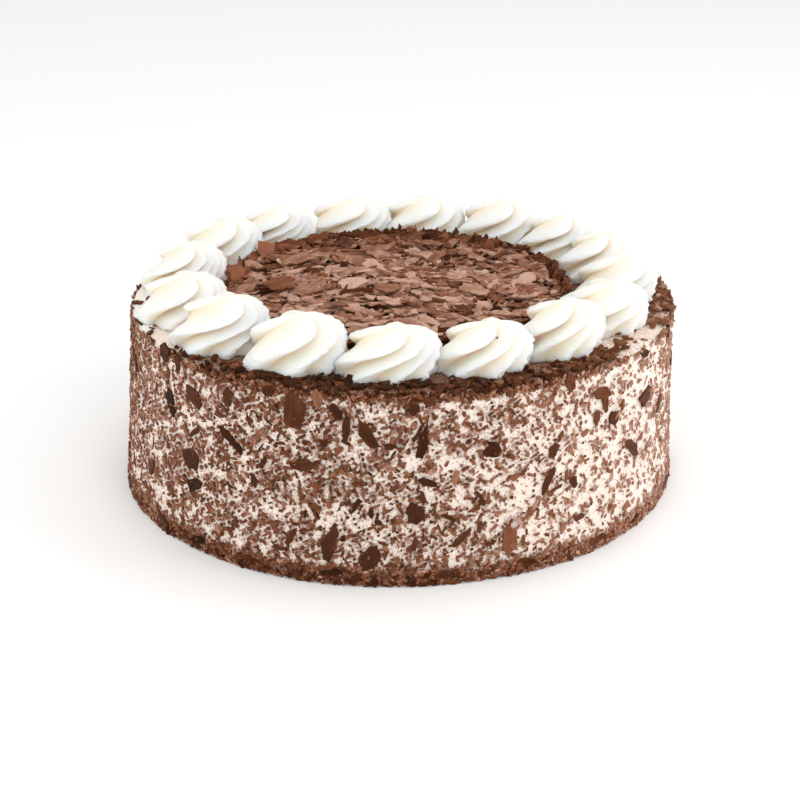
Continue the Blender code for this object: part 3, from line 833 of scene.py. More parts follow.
class CAKE_OT_coat(bpy.types.Operator):
    """Spread the cream coat over the whole cake"""

    bl_idname = "cake.coat"
    bl_label = "Cream Coat"

    def execute(self, context):
        cream = context.scene.cake_cream
        heights, outwards = self.profile(round(CAKE_HEIGHT / cream.coat_step))
        columns = round(2 * math.pi * TOP_RADIUS / cream.coat_step)
        azimuths = 2 * np.pi * np.arange(columns) / columns
        rings = side_points(azimuths[None, :], heights[:, None], outwards[:, None])
        flat = rings.reshape(-1, 3)
        relief = grain(flat, 0.007, 4) + 0.6 * grain(flat, 0.0035, 5)
        relief = cream.coat_relief * relief.reshape(rings.shape[:2])
        relief[0] = 0.0
        rings[..., 0] += relief * np.cos(azimuths)
        rings[..., 1] += relief * np.sin(azimuths)
        top = rings[-1][None] * np.array(COAT_TOP_SHARES)[:, None, None]
        top[..., 2] = CAKE_HEIGHT
        rings = np.concatenate([rings, top])
        points, faces = closed_loft(rings, (0, 0, 0), (TOP_SHIFT, 0, CAKE_HEIGHT))
        chocolate = context.scene.cake_chocolate
        material = kept_material("whipped_cream_spread", spread_cream_material, cream, chocolate)
        values = {"dusting": self.dusting(points)}
        piece = mesh_piece("cream_coat", points, faces, material, values, smooth=True)
        settle(piece, "coat", "cake_body")
        return {"FINISHED"}

    def profile(self, rows):
        """Heights up the side, and how far the coat stands outside it there."""
        edge_drops, edge_tucks = np.array(COAT_EDGE).T * EDGE_ROUNDING
        side = np.linspace(FOOT_ROUNDING, CAKE_HEIGHT - 1.9 * EDGE_ROUNDING, rows)
        heights = np.concatenate([[0.0], side, CAKE_HEIGHT - edge_drops])
        outwards = np.concatenate([[-FOOT_TUCK], 0 * side, -edge_tucks])
        return heights, outwards

    def dusting(self, points):
        """How much fine dust clings to each point: as the shavings cover it, or as the rim's on top."""
        azimuths = np.arctan2(points[:, 1], points[:, 0])
        cover = shaving_cover(azimuths, points[:, 2])
        on_top = points[:, 2] > CAKE_HEIGHT - 0.5 * EDGE_ROUNDING
        return np.where(on_top, rim_share(azimuths), cover)


class CAKE_OT_shavings(bpy.types.Operator):
    """Press fine chocolate on the side: specks, crumbs and slivers"""

    bl_idname = "cake.shavings"
    bl_label = "Fine Shavings"

    def execute(self, context):
        settings = context.scene.cake_shavings
        material = chocolate_of("milk_chocolate_grated", context.scene)
        draw = np.random.default_rng(21)
        kinds = (
            ("side_slivers", settings.slivers, SLIVERS), ("side_crumbs", settings.crumbs, CRUMBS),
            ("side_specks", settings.specks, SPECKS),
        )
        for name, count, kind in kinds:
            heap = PlateHeap()
            azimuths, heights = scattered_on_side(count, draw, evenness=kind.evenness)
            add_side_pieces(heap, kind, azimuths, heights, draw)
            heap.lay_down(name, material)
        return {"FINISHED"}


def solid_outline(length, width, draw):
    """Return the outline that a flake has in the solids, from the same draws."""
    corners = draw.choice(CORNER_COUNTS)
    outline = []
    for i in range(corners):
        turn = 2 * math.pi * (i + draw.uniform(-CORNER_JITTER, CORNER_JITTER)) / corners
        reach = draw.uniform(*CORNER_REACH)
        outline.append((reach * length / 2 * math.cos(turn), reach * width / 2 * math.sin(turn)))
    return np.array(outline)


class PressedFlakes:
    """The large flakes that the solids have on the side, rim and foot, in the order of their draws."""

    def __init__(self):
        self.draw = random.Random(FLAKE_SEED)
        self.groups = {"side": self.side(), "rim": self.rim(), "foot": self.foot()}

    def within(self, most):
        """A random number no further than that from 0."""
        return self.draw.uniform(-most, most)

    def pressed(self, degrees, height, turn, tilt, lengths, widths):
        """A flake of a size drawn from two ranges."""
        length = self.draw.uniform(*lengths)
        width = self.draw.uniform(*widths)
        return degrees, height, turn, tilt, solid_outline(length, width, self.draw)

    def side(self):
        """Those seen on the front, then a spread all round."""
        items = []
        for degrees, height, length, width, turn in SHOWN_FLAKES:
            outline = solid_outline(length / 1000, width / 1000, self.draw)
            items.append((degrees, height / 1000, -math.radians(turn), 0.0, outline))
        low, high = SIDE_BAND
        for i in range(SIDE_FLAKES):
            degrees = i * SPREAD_TURN % 360
            if SHOWN_ARC[0] < degrees < SHOWN_ARC[1]:
                continue
            height = low + (high - low) * (i * SPREAD_RISE % 1.0)
            turn = self.within(SIDE_TURN)
            items.append(self.pressed(degrees, height, turn, self.within(SIDE_TILT), *SIDE_SIZES))
        return items

    def rim(self):
        """Those that crown the top edge."""
        items = []
        for i in range(RIM_FLAKES):
            degrees = 360 * (i + self.within(ROW_JITTER)) / RIM_FLAKES
            height = CAKE_HEIGHT - self.draw.uniform(*RIM_DROP)
            turn = self.within(RIM_TURN) + math.pi / 2 * self.draw.choice((0, 1))
            items.append(self.pressed(degrees, height, turn, self.within(RIM_TILT), *RIM_SIZES))
        return items

    def foot(self):
        """Those gathered round the foot."""
        items = []
        for i in range(FOOT_FLAKES):
            degrees = 360 * (i + self.within(ROW_JITTER)) / FOOT_FLAKES
            height = self.draw.uniform(*FOOT_RISE)
            turn = math.pi / 2 + self.within(FOOT_TURN)
            items.append(self.pressed(degrees, height, turn, self.within(FOOT_TILT), *FOOT_SIZES))
        return items


def add_pressed(heap, items, thickness, tones, draw):
    """Add large flakes with ragged edges, their outer faces where the solids have them."""
    for degrees, height, turn, tilt, outline in items:
        azimuths = np.array([math.radians(degrees)])
        heights = np.array([height])
        axes = turned(turned(side_axes(azimuths, heights), turn, "Z"), tilt, "Y")
        size = np.abs(outline).max()
        edge = ragged(outline[None], 3, 0.025 * size, draw)
        centres = side_points(azimuths, heights, PRESSED_PROUD - thickness / 2)
        bend = draw.uniform(-0.02, 0.05, 1) * size
        # Painted highlight: paler where more light falls on the side
        shades = tones_about(1, *tones, draw) + 0.3 * painted_side_highlight(azimuths)
        heap.add(edge, axes, centres, thickness, shades, warmths_of(1, 0.04, draw), bend)


class CAKE_OT_side_flakes(bpy.types.Operator):
    """Press the larger flakes and chips on the side"""

    bl_idname = "cake.side_flakes"
    bl_label = "Side Flakes"

    def execute(self, context):
        draw = np.random.default_rng(22)
        heap = PlateHeap()
        # The solids' flakes are polygons cut inside the size that shows: widened to it here
        widened = [(*place, outline * SIDE_WIDENING) for *place, outline in PressedFlakes().groups["side"]]
        add_pressed(heap, widened, PRESSED_THICKNESS, (0.13, 0.09), draw)
        shown = [(degrees, height / 1000, -math.radians(turn), 0.0,
                  broken_outlines(np.array([length / 1000]), np.array([width / 1000]), 5, draw)[0])
                 for degrees, height, length, width, turn in SHOWN_CHIPS]
        add_pressed(heap, shown, CHIP_THICKNESS, (0.18, 0.13), draw)
        count = context.scene.cake_shavings.chips
        azimuths, heights = scattered_on_side(count, draw, 0.004, CAKE_HEIGHT - 0.006)
        add_side_pieces(heap, CHIPS, azimuths, heights, draw)
        heap.lay_down("side_flakes", chocolate_of("milk_chocolate_scraped", context.scene))
        return {"FINISHED"}


class CAKE_OT_rim_flakes(bpy.types.Operator):
    """Crown the top edge with flakes, and fill the ledge outside the swirls"""

    bl_idname = "cake.rim_flakes"
    bl_label = "Rim and Ledge Flakes"

    def execute(self, context):
        settings = context.scene.cake_chocolate
        material = chocolate_of("milk_chocolate_scraped", context.scene)
        draw = np.random.default_rng(23)
        heap = PlateHeap()
        add_pressed(heap, PressedFlakes().groups["rim"], PRESSED_THICKNESS, (0.24, 0.12), draw)
        self.hang_chips(heap, RIM_CHIP, settings.rim_chips, draw)
        heap.lay_down("rim_flakes", material)
        heap = PlateHeap()
        self.fill_ledge(heap, LEDGE_FLAKE, settings.ledge_flakes, draw)
        heap.lay_down("ledge_flakes", material)
        return {"FINISHED"}

    def hang_chips(self, heap, kind, count, draw):
        """Chips on the edge itself, which lean in and out and stand a little over it, smaller behind."""
        azimuths = self.rim_places(count, draw)
        count = len(azimuths)
        back = towards(azimuths, 90, 55)
        heights = CAKE_HEIGHT - draw.triangular(-0.0008, 0.0002, 0.0028, count) - 0.0014 * back
        lengths = draw.uniform(*kind.lengths, count) * (1 - 0.45 * back)
        axes = turned(side_axes(azimuths, heights), draw.uniform(0, np.pi, count), "Z")
        axes = shaken(axes, kind.tilt, draw)
        outlines = kind.narrow_outlines(lengths, draw)
        centres = side_points(azimuths, heights, draw.uniform(-0.0012, 0.0004, count))
        self.add_dark(heap, kind, outlines, axes, centres, azimuths, draw)

    def fill_ledge(self, heap, kind, count, draw):
        """Flakes that lie in a loose layer between the swirls and the edge."""
        azimuths = self.rim_places(count, draw)
        count = len(azimuths)
        radius = draw.triangular(0.1030, 0.1160, 0.1192, count)
        lengths = draw.uniform(*kind.lengths, count)
        axes = shaken(level_axes(count, draw.uniform(0, 2 * np.pi, count)), kind.tilt, draw)
        outlines = kind.narrow_outlines(lengths, draw)
        heights = CAKE_HEIGHT + draw.uniform(0.0002, 0.0016, count) * (1 - 0.7 * towards(azimuths, 90, 50))
        centres = round_points(TOP_SHIFT, radius, azimuths, heights)
        self.add_dark(heap, kind, outlines, axes, centres, azimuths, draw)

    def add_dark(self, heap, kind, outlines, axes, centres, azimuths, draw):
        """Add flakes that are dark, but painted paler where the side has its painted highlight."""
        count = len(azimuths)
        thickness = draw.uniform(*kind.thickness, count)
        # Painted highlight: paler where more light falls on the side
        tones = kind.shades(0.9 * painted_side_highlight(azimuths), draw)
        warmths = warmths_of(count, kind.fresh, draw)
        heap.add(outlines, axes, centres, thickness, tones, warmths, draw.uniform(*kind.bends, count))

    def rim_places(self, count, draw):
        """Azimuths spread over the rim, fewer where it is left nearly bare."""
        azimuths = draw.uniform(0, 2 * np.pi, count)
        return azimuths[draw.uniform(0, 1, count) < rim_share(azimuths)]


class CAKE_OT_foot_flakes(bpy.types.Operator):
    """Gather flakes round the foot"""

    bl_idname = "cake.foot_flakes"
    bl_label = "Foot Flakes"

    def execute(self, context):
        draw = np.random.default_rng(24)
        heap = PlateHeap()
        add_pressed(heap, PressedFlakes().groups["foot"], PRESSED_THICKNESS, (0.16, 0.12), draw)
        self.gather_chips(heap, FOOT_CHIP, context.scene.cake_chocolate.foot_chips, draw)
        heap.lay_down("foot_flakes", chocolate_of("milk_chocolate_scraped", context.scene))
        return {"FINISHED"}

    def gather_chips(self, heap, kind, count, draw):
        """Chips that lie along the foot, none so wide that it would reach under it."""
        azimuths = draw.uniform(0, 2 * np.pi, count)
        heights = draw.triangular(0.0006, 0.0014, 0.0062, count)
        lengths = draw.uniform(*kind.lengths, count)
        axes = turned(side_axes(azimuths, heights), draw.normal(np.pi / 2, 0.6, count), "Z")
        axes = shaken(axes, kind.tilt, draw)
        widths = np.minimum(lengths * draw.uniform(*kind.widths, count), 1.6 * heights)
        outlines = kind.outlines(lengths, widths, draw)
        centres = side_points(azimuths, heights, draw.uniform(-0.0002, 0.0006, count))
        # Painted highlight: paler where more light falls on the side
        tones = kind.shades(painted_side_highlight(azimuths), draw)
        thickness, warmths, bends = kind.drawn(count, draw)
        heap.add(outlines, axes, centres, thickness, tones, warmths, bends)


def bed_surface(x, y):
    """Height of the bed's packed core above the cake's top."""
    distance = np.minimum(np.hypot(x, y) / BED_RADIUS, 1.0)
    crown = BED_RIM_HEIGHT + (BED_CROWN_HEIGHT - BED_RIM_HEIGHT) * (1.0 - distance ** 2)
    return crown + BED_WAVE * (np.sin(120 * x + 1.0) + np.sin(150 * y + 60 * x))


def bed_place(distance, azimuth):
    """Return x and y from the bed's middle."""
    return distance * np.cos(azimuth), distance * np.sin(azimuth)


def bed_centres(x, y, heights):
    """Points at x and y from the bed's middle, and heights above the bed's floor."""
    return np.stack([BED_SHIFT + x, y, heights], axis=-1)


class CAKE_OT_bed(bpy.types.Operator):
    """Lay the bed of broken flakes inside the ring"""

    bl_idname = "cake.bed"
    bl_label = "Flake Bed"

    def execute(self, context):
        settings = context.scene.cake_chocolate
        self.heap_core(chocolate_of("milk_chocolate_packed", context.scene))
        draw = np.random.default_rng(25)
        heap = PlateHeap()
        self.solid_flakes(heap, draw)
        for share, kind, layers in BED_LAYERS:
            self.plates(heap, kind, round(share * settings.bed_plates), layers, settings.bed_height, draw)
        self.leaning_plates(heap, LEANING_PLATE, LEANING_PLATES, draw)
        self.upright_shards(heap, SHARD, draw)
        self.shown_plates(heap, draw)
        self.slivers_on_edge(heap, EDGE_SLIVER, EDGE_SLIVERS, draw)
        heap.lay_down("bed_plates", chocolate_of("milk_chocolate_bloomed", context.scene), "flake_bed")
        return {"FINISHED"}

    def heap_core(self, material):
        """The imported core, rough with what is too small to lie on it as a plate."""
        shares = np.array([CORE_FOOT_SHARE, *np.linspace(1.0, 0.03, CORE_RINGS)])
        azimuths = 2 * np.pi * np.arange(CORE_COLUMNS) / CORE_COLUMNS
        x, y = bed_place(BED_RADIUS * shares[:, None], azimuths)
        rings = bed_centres(x, y, BED_FLOOR + bed_surface(x, y))
        flat = rings.reshape(-1, 3)
        bumps = CORE_RELIEF * (grain(flat, 0.004, 6) + 0.8 * grain(flat, 0.002, 7)).reshape(x.shape)
        rings[..., 2] += bumps - CORE_RELIEF
        rings[0, :, 2] = BED_FLOOR
        crown = (BED_SHIFT, 0, BED_FLOOR + BED_CROWN_HEIGHT)
        points, faces = closed_loft(rings, (BED_SHIFT, 0, BED_FLOOR), crown)
        # Painted shade: the core's darker tone shows in the gaps between the plates
        values = {"tone": np.full(len(points), CORE_TONE_WITH_GAP_SHADE), "warmth": np.zeros(len(points)), "place": points}
        settle(mesh_piece("bed_core", points, faces, material, values, smooth=True), "chocolate")

    def solid_flakes(self, heap, draw):
        """The larger flakes that the solid has, from the draws that follow those of the pressed flakes."""
        solid = PressedFlakes().draw
        for i in range(BED_FLAKES):
            distance = BED_REACH * math.sqrt((i + 0.5) / BED_FLAKES)
            azimuth = math.radians(i * SPREAD_TURN)
            self.solid_flake(heap, distance, azimuth, BED_LENGTHS, BED_WIDTH_SHARE, BED_TILTS, solid, draw)
        for i in range(BED_RIM_FLAKES):
            azimuth = 2 * math.pi * (i + solid.uniform(-ROW_JITTER, ROW_JITTER)) / BED_RIM_FLAKES
            self.solid_flake(heap, BED_REACH, azimuth, BED_RIM_LENGTHS, BED_RIM_WIDTH_SHARE, BED_RIM_TILTS,
                             solid, draw)

    def solid_flake(self, heap, distance, azimuth, lengths, width_share, tilts, solid, draw):
        """One of them: drawn in from the ring and lifted off the cake as the solid is, but thinner."""
        length = solid.uniform(*lengths)
        tilt = solid.uniform(*tilts)
        spin = solid.uniform(0, 2 * math.pi)
        distance -= max(distance + TURNED_REACH * length - BED_REACH, 0.0)
        x = distance * math.cos(azimuth)
        y = distance * math.sin(azimuth)
        drop = 0.5 * length * math.sin(abs(tilt)) + SOLID_HALF_THICKNESS
        height = max(bed_surface(x, y), drop + CLEARANCE)
        across = azimuth + math.pi / 2
        axes = turned(turned(turned(level_axes(1, across), tilt, "X"), -across, "Z"), spin, "Z")
        outline = ragged(solid_outline(length, width_share * length, solid)[None], 3, 0.03 * length, draw)
        centre = np.array([[BED_SHIFT + x, y, BED_FLOOR + height + 0.0004]])
        tones = tones_about(1, 0.68, 0.12, draw)
        warmths = warmths_of(1, 0.05, draw)
        heap.add(outline, axes, centre, 0.0006, tones, warmths, draw.uniform(-0.0002, 0.0006, 1))

    def plates(self, heap, kind, count, layers, bed_height, draw):
        """Broken plates layered over one another."""
        lengths = draw.uniform(*kind.lengths, count)
        distance = (BED_REACH - 0.3 * lengths) * np.sqrt(draw.uniform(0, 1, count))
        x, y = bed_place(distance, draw.uniform(0, 2 * np.pi, count))
        rise = draw.uniform(*layers, count) * bed_height
        heights = bed_surface(x, y) + rise + 0.0009 * grain(np.stack([x, y, 0 * x], axis=-1), 0.016, 8)
        axes = shaken(level_axes(count, draw.uniform(0, 2 * np.pi, count)), kind.tilt, draw)
        outlines = kind.narrow_outlines(lengths, draw)
        tones = kind.shades(-self.dimming(x, y), draw)
        thickness, warmths, bends = kind.drawn(count, draw, lengths)
        heap.add(outlines, axes, bed_centres(x, y, BED_FLOOR + heights), thickness, tones, warmths, bends)

    def dimming(self, x, y):
        """How much darker the plates are towards the bed's back and its left."""
        return 0.52 * np.clip(y / BED_REACH - 0.2, 0, 1) + 0.22 * np.clip(-x / BED_REACH - 0.3, 0, 1)

    def leaning_plates(self, heap, kind, count, draw):
        """Plates that lean on the swirls, upright and jagged at the back, large and reddish on the left."""
        azimuths = draw.uniform(0, 2 * np.pi, count)
        back = np.clip(np.sin(azimuths), 0, 1)
        left = np.clip(-np.cos(azimuths + 0.35), 0, 1) ** 6
        right = np.clip(np.cos(azimuths), 0, 1)
        x, y = bed_place(draw.uniform(0.0690, 0.0752, count) + 0.0025 * right, azimuths)
        lengths = draw.uniform(*kind.lengths, count) * (1 + 0.8 * left)
        axes = level_axes(count, azimuths + np.pi / 2 + draw.normal(0, kind.tilt, count))
        axes = turned(axes, -draw.uniform(0.2, 0.7, count) - 0.7 * back, "X")
        outlines = kind.narrow_outlines(lengths, draw)
        heights = BED_FLOOR + BED_RIM_HEIGHT + draw.uniform(0.0004, 0.0022, count) + 0.0012 * back
        tones = kind.shades(-0.22 * back, draw)
        warmths = np.clip(warmths_of(count, kind.fresh, draw) + 0.35 * left, 0.0, 1.0)
        thickness = draw.uniform(*kind.thickness, count)
        bends = draw.uniform(*kind.bends, count)
        heap.add(outlines, axes, bed_centres(x, y, heights), thickness, tones, warmths, bends)

    def upright_shards(self, heap, kind, draw):
        """Dark pointed shards that stand up against the swirls at the back and on the right."""
        azimuths = np.radians(np.concatenate([draw.normal(*group) for group in SHARD_GROUPS]))
        count = len(azimuths)
        x, y = bed_place(draw.uniform(0.0705, 0.0752, count), azimuths)
        widths = draw.uniform(*kind.widths, count)
        lengths = draw.uniform(*kind.lengths, count)
        axes = level_axes(count, azimuths + np.pi / 2 + draw.normal(0, 0.35, count))
        axes = turned(axes, draw.normal(-1.30, kind.tilt, count), "X")
        axes = turned(axes, np.pi / 2 + draw.normal(0, 0.30, count), "Z")
        outlines = kind.outlines(lengths, widths, draw)
        heights = BED_FLOOR + BED_RIM_HEIGHT + draw.uniform(0.0010, 0.0034, count)
        thickness = draw.uniform(*kind.thickness, count)
        tones = tones_about(count, *kind.tones, draw)
        warmths = warmths_of(count, kind.fresh, draw)
        bends = draw.uniform(*kind.bends, count)
        heap.add(outlines, axes, bed_centres(x, y, heights), thickness, tones, warmths, bends)

    def shown_plates(self, heap, draw):
        """The large plates that catch the eye: some lie on top, others lean against the swirls."""
        for degrees, radius, length, width, turn, facing, lean, rise, tone, warmth in SHOWN_PLATES:
            size = length / 1000
            axes = turned(level_axes(1, math.radians(facing + 90)), math.radians(lean), "X")
            axes = turned(axes, math.radians(turn), "Z")
            plain = broken_outlines(np.array([size]), np.array([width / 1000]), 7, draw)
            x = radius / 1000 * math.cos(math.radians(degrees))
            y = radius / 1000 * math.sin(math.radians(degrees))
            centre = np.array([[BED_SHIFT + x, y, BED_FLOOR + bed_surface(x, y) + rise / 1000]])
            outline = ragged(plain, 4, 0.03 * size, draw)
            looks = np.array([[tone], [warmth], [0.03 * size]])
            heap.add(outline, axes, centre, 0.0008, *looks)

    def slivers_on_edge(self, heap, kind, count, draw):
        """Long thin slivers that lie tipped between the plates, dark against them."""
        distance = (BED_REACH - 0.008) * np.sqrt(draw.uniform(0, 1, count))
        x, y = bed_place(distance, draw.uniform(0, 2 * np.pi, count))
        lengths = draw.uniform(*kind.lengths, count)
        axes = turned(level_axes(count, draw.normal(0, 0.55, count)), draw.uniform(0.5, 1.1, count), "X")
        axes = turned(axes, draw.normal(0, kind.tilt, count), "Y")
        outlines = kind.outlines(lengths, draw.uniform(*kind.widths, count), draw)
        heights = BED_FLOOR + bed_surface(x, y) + draw.uniform(0.0016, 0.0034, count)
        tones = kind.shades(-0.4 * self.dimming(x, y), draw)
        thickness, warmths, bends = kind.drawn(count, draw, lengths)
        heap.add(outlines, axes, bed_centres(x, y, heights), thickness, tones, warmths, bends)


def swirl_azimuths(draw):
    """Azimuths of the swirls in radians: evenly spaced, but a little closer on the right half."""
    azimuths = []
    for i in range(SWIRL_COUNT):
        turn = 360.0 * i / SWIRL_COUNT
        closing = RING_CROWDING * (1.0 - math.cos(math.radians(turn)))
        jitter = draw.uniform(-RING_JITTER, RING_JITTER)
        azimuths.append(math.radians(FIRST_SWIRL_AZIMUTH + turn - closing + jitter))
    return azimuths


def twist_share(levels):
    """Share of the twist reached at each level: the ridges stand upright on the foot, then turn fast."""
    started = np.where(levels < 2 * TWIST_START, levels ** 2 / (4 * TWIST_START), levels - TWIST_START)
    return 1.0 - (1.0 - started / (1.0 - TWIST_START)) ** TWIST_POWER


def ridge_section(columns):
    """Turn and height of each point across the ridges, and how deep its fold cuts at the foot and higher up.

    Height is 0 in a fold and 1 on a crest.
    """
    shares = np.arange(columns) / columns
    edge = 0.0
    section = []
    for i, (width, crest, softness, *fold) in enumerate(RIDGES):
        rise = 0.5 - 0.5 * np.cos(np.pi * shares / crest)
        fall = np.sin(np.pi / 2 * np.minimum((1.0 - shares) / (1.0 - crest), 1.0)) ** softness
        rising = shares < crest
        height = np.where(rising, rise ** VALLEY_POWER, fall)
        foot, full = (np.where(rising, before, after) for before, after in zip(RIDGES[i - 1][3:], fold))
        section.append(np.stack([np.radians(edge + width * shares), height, foot, full]))
        edge += width
    return np.concatenate(section, axis=1)[:, None, :]


class CAKE_OT_swirls(bpy.types.Operator):
    """Pipe the sixteen cream swirls"""

    bl_idname = "cake.swirls"
    bl_label = "Piped Swirls"

    def execute(self, context):
        settings = context.scene.cake_cream
        material = kept_material("whipped_cream_piped", piped_cream_material, settings)
        draw = random.Random(SWIRL_SEED)
        azimuths = swirl_azimuths(draw)
        for index in range(SWIRL_COUNT):
            points, faces, crease = self.swirl(index, azimuths, draw, settings)
            name = f"piped_swirl_{index + 1:02d}"
            piece = mesh_piece(name, points, faces, material, {"crease": crease}, smooth=True)
            settle(piece, "cream", f"cream_swirl_{index + 1:02d}")
        return {"FINISHED"}

    def swirl(self, index, azimuths, draw, settings):
        """Points, faces and painted crease shade of one swirl, from the draws of its solid."""
        azimuth = azimuths[index]
        before = azimuths[index - 1] - (2 * math.pi if index == 0 else 0.0)
        after = azimuths[(index + 1) % SWIRL_COUNT] + (2 * math.pi if index == SWIRL_COUNT - 1 else 0.0)
        outwards = np.array([math.cos(azimuth), math.sin(azimuth)])
        sideways = np.array([-outwards[1], outwards[0]])
        half_width = RING_RADIUS * math.sin((after - before) / 4) * WIDTH_OVERLAP
        half_depth = SWIRL_HALF_DEPTH * draw.uniform(*DEPTH_RANGE)
        size = draw.uniform(*SIZE_RANGE)
        first = FIRST_RIDGE_AZIMUTH + draw.uniform(-RIDGE_JITTER, RIDGE_JITTER)
        twist = SWIRL_TWIST * draw.uniform(*TWIST_RANGE)
        uneven = draw.uniform(0, 2 * math.pi)
        if index in SHOWN_SWIRLS:
            first, twist, size = SHOWN_SWIRLS[index]
        levels = (stepped(settings.levels + 1)[:-1])[:, None]
        spread, ridge, foot, full = ridge_section(settings.columns)
        eased = 1.0 - TWIST_EASING * (1.0 - np.cos(spread - MAIN_CREST))
        turn = math.radians(first) - MAIN_CREST + spread + math.radians(twist) * eased * twist_share(levels)
        opening = np.sin(np.pi / 2 * np.minimum(levels / OPENING_HEIGHT, 1.0))
        depth = foot + (full - foot) * opening
        depth = depth * (1.0 + CREASE_UNEVENNESS * np.cos(3 * spread + uneven))
        narrowing = 1.0 - FOOT_NARROWING * np.exp(-levels / FOOT_NARROWING_HEIGHT)
        dome = (1.0 - levels ** DOME_POWER) ** DOME_ROOT * narrowing
        reach = dome * (1.0 - depth * (1.0 - ridge))
        out = np.cos(turn) * outwards[0] + np.sin(turn) * outwards[1]
        side = np.cos(turn) * sideways[0] + np.sin(turn) * sideways[1]
        flat = (outwards * (out * half_depth * reach)[..., None]
                + sideways * (side * half_width * reach)[..., None])
        sag = 4 * CREST_SAG * ridge * (1 - levels) * levels
        heights = SWIRL_HEIGHT * size * (levels - sag)
        rings = np.concatenate([flat, heights[..., None]], axis=-1)
        rings[..., 0] += SWIRL_LEAN * size * levels ** LEAN_POWER
        centre = np.array([RING_SHIFT + RING_RADIUS * outwards[0], RING_RADIUS * outwards[1], BED_FLOOR])
        rings += centre
        self.roughen(rings, flat, ridge, levels, index, settings)
        tip = centre + np.array([SWIRL_LEAN * size, 0.0, SWIRL_HEIGHT * size])
        points, faces = closed_loft(rings, centre, tip)
        # Painted shade: strongest deep in the folds, weaker higher up the swirl
        crease = ((1.0 - ridge) ** 2 * (1.0 - 0.5 * levels) + 0 * turn).ravel()
        return points, faces, np.concatenate([crease, [0.0, 0.0]])

    def roughen(self, rings, flat, ridge, levels, index, settings):
        """Push the surface in and out by the lumps of the cream, most along the crests."""
        points = rings.reshape(-1, 3)
        lumps = grain(points, LUMP_SIZES[0], 10 + index) + 0.35 * grain(points, LUMP_SIZES[1], 30 + index)
        crests = grain(points, CREST_GRAIN, 50 + index).reshape(levels.shape[0], -1)
        crests = CREST_RAGGEDNESS * crests * ridge ** 5
        push = settings.lumps * (lumps.reshape(levels.shape[0], -1) + crests)
        length = np.maximum(np.linalg.norm(flat, axis=-1), 1e-6)
        fading = np.clip(length / 0.003, 0.0, 1.0)
        rings[..., :2] += flat / length[..., None] * (push * fading)[..., None]


# Tiny chips on the cream: how many, how far out they fall, and their lengths
STRAY_CHIPS = 5
STRAY_RADII = (0.104, 0.1125)
STRAY_LENGTHS = (0.0006, 0.0017)


class CAKE_OT_stray_chips(bpy.types.Operator):
    """Drop a few tiny chips on the cream"""

    bl_idname = "cake.stray_chips"
    bl_label = "Stray Chips"

    def execute(self, context):
        draw = np.random.default_rng(26)
        azimuths = draw.uniform(0, 2 * np.pi, STRAY_CHIPS)
        radius = draw.uniform(*STRAY_RADII, STRAY_CHIPS)
        starts = np.stack([RING_SHIFT + radius * np.cos(azimuths), radius * np.sin(azimuths)], axis=-1)
        graph = context.evaluated_depsgraph_get()
        context.view_layer.update()
        heap = PlateHeap()
        for x, y in starts:
            above = Vector((x, y, CAKE_HEIGHT + 0.05))
            hit, place, normal, _, item, _ = context.scene.ray_cast(graph, above, Vector((0, 0, -1)))
            if not hit or not item.name.startswith("piped_swirl"):
                continue
            rotation = np.array(normal.to_track_quat("Z", "Y").to_matrix())[None]
            length = draw.uniform(*STRAY_LENGTHS, 1)
            outline = broken_outlines(length, 0.45 * length, 4, draw)
            axes = turned(rotation, draw.uniform(0, np.pi, 1), "Z")
            heap.add(outline, axes, np.array([place]), 0.0004, tones_about(1, 0.3, 0.15, draw), np.zeros(1))
        heap.lay_down("stray_chips", chocolate_of("milk_chocolate_grated", context.scene))
        return {"FINISHED"}


# Soft boxes: place, and side of the square
SOFT_BOXES = {
    "top": ((0.35, 0.45, 2.2), 1.8),
    "right": ((1.0, -0.15, 0.55), 0.7),
    "left": ((-1.0, -0.30, 0.45), 0.8),
    "front": ((0.15, -1.30, 0.75), 1.3),
}

# Camera: place, angle below level in radians, and lens in mm
CAMERA_PLACE = (0.00126, -0.67154, 0.30408)
CAMERA_DIP = 0.3891
CAMERA_LENS = 71.3


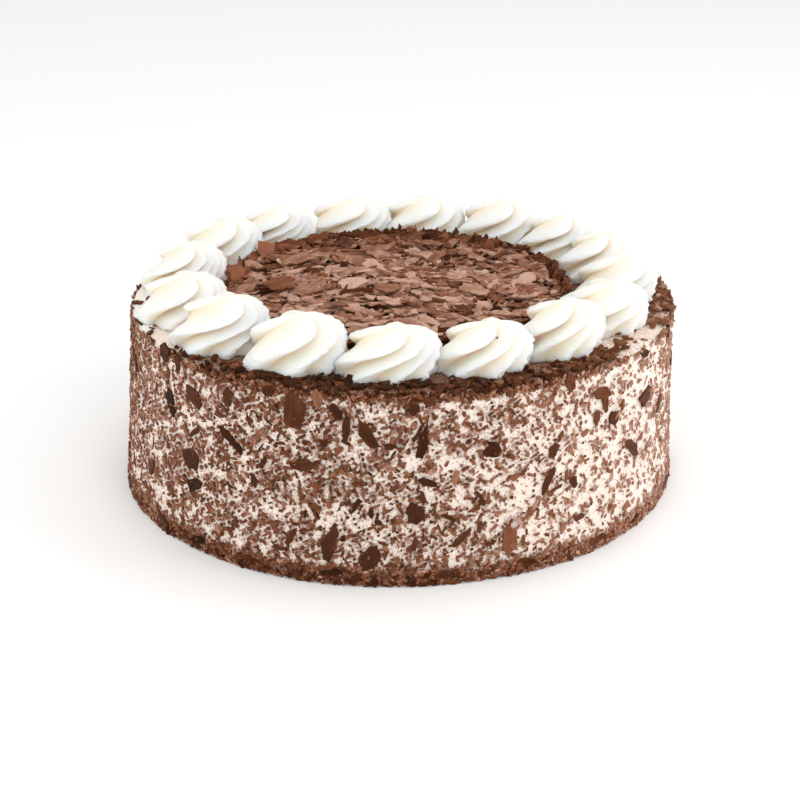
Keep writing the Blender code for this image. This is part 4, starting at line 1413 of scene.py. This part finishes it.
class CAKE_OT_stage(bpy.types.Operator):
    """Lay the floor, and set the lights and the camera"""

    bl_idname = "cake.stage"
    bl_label = "Floor, Lights and Camera"

    def execute(self, context):
        settings = context.scene.cake_stage
        self.floor(settings)
        self.lights(context.scene, settings)
        self.camera(context.scene)
        context.scene.view_settings.view_transform = "Standard"
        return {"FINISHED"}

    def floor(self, settings):
        """A plain board that runs past the view."""
        half = settings.floor_size / 2
        corners = [(-half, -half, 0.0), (half, -half, 0.0), (half, half, 0.0), (-half, half, 0.0)]
        floor = mesh_piece("floor", corners, [(0, 1, 2, 3)], floor_material(settings))

    def lights(self, scene, settings):
        """Light from all round, a soft box above, and weaker ones on the right, on the left and in front."""
        world = bpy.data.worlds.new("studio")
        world.use_nodes = True
        background = world.node_tree.nodes["Background"]
        background.inputs["Color"].default_value = (1.0, 1.0, 1.0, 1.0)
        background.inputs["Strength"].default_value = settings.sky
        scene.world = world
        for side, (place, size) in SOFT_BOXES.items():
            self.soft_box(f"{side}_light", place, size, getattr(settings, f"{side}_power"))

    def soft_box(self, name, place, size, power):
        """A square soft box that looks at the middle of the cake."""
        light = bpy.data.lights.new(name, "AREA")
        light.size = size
        light.energy = power
        item = bpy.data.objects.new(name, light)
        item.location = place
        aim = Vector((0.0, 0.0, CAKE_HEIGHT / 2)) - Vector(place)
        item.rotation_euler = aim.to_track_quat("-Z", "Y").to_euler()
        bpy.context.scene.collection.objects.link(item)

    def camera(self, scene):
        """The photograph's view: from the front, 22 degrees down."""
        data = bpy.data.cameras.new("camera")
        data.sensor_width = 36.0
        data.lens = CAMERA_LENS
        data.clip_start = 0.01
        item = bpy.data.objects.new("camera", data)
        item.location = CAMERA_PLACE
        item.rotation_euler = (math.pi / 2 - CAMERA_DIP, 0.0, 0.0)
        scene.collection.objects.link(item)
        scene.camera = item


class CAKE_PT_sidebar(bpy.types.Panel):
    """The cake's settings and the steps that make it"""

    bl_idname = "CAKE_PT_sidebar"
    bl_label = "Round Cream Cake"
    bl_space_type = "VIEW_3D"
    bl_region_type = "UI"
    bl_category = "Cake"

    def draw(self, context):
        layout = self.layout
        for step in STEPS:
            layout.operator(step.bl_idname)
        for key in SETTINGS:
            box = layout.box()
            group = getattr(context.scene, key)
            for name in group.__annotations__:
                box.prop(group, name)


SETTINGS = {
    "cake_cream": CreamSettings,
    "cake_shavings": ShavingSettings,
    "cake_chocolate": ChocolateSettings,
    "cake_stage": StageSettings,
}
STEPS = (
    CAKE_OT_coat, CAKE_OT_shavings, CAKE_OT_side_flakes, CAKE_OT_rim_flakes, CAKE_OT_foot_flakes,
    CAKE_OT_bed, CAKE_OT_swirls, CAKE_OT_stray_chips, CAKE_OT_stage,
)


def register():
    for group in (*SETTINGS.values(), *STEPS, CAKE_PT_sidebar):
        bpy.utils.register_class(group)
    for key, group in SETTINGS.items():
        setattr(bpy.types.Scene, key, PointerProperty(type=group))


def unregister():
    for key in SETTINGS:
        delattr(bpy.types.Scene, key)
    for group in reversed((*SETTINGS.values(), *STEPS, CAKE_PT_sidebar)):
        bpy.utils.unregister_class(group)


def main():
    """Make every piece in order."""
    register()
    bpy.ops.cake.coat()
    bpy.ops.cake.shavings()
    bpy.ops.cake.side_flakes()
    bpy.ops.cake.rim_flakes()
    bpy.ops.cake.foot_flakes()
    bpy.ops.cake.bed()
    bpy.ops.cake.swirls()
    bpy.ops.cake.stray_chips()
    bpy.ops.cake.stage()


if __name__ == "__main__":
    main()
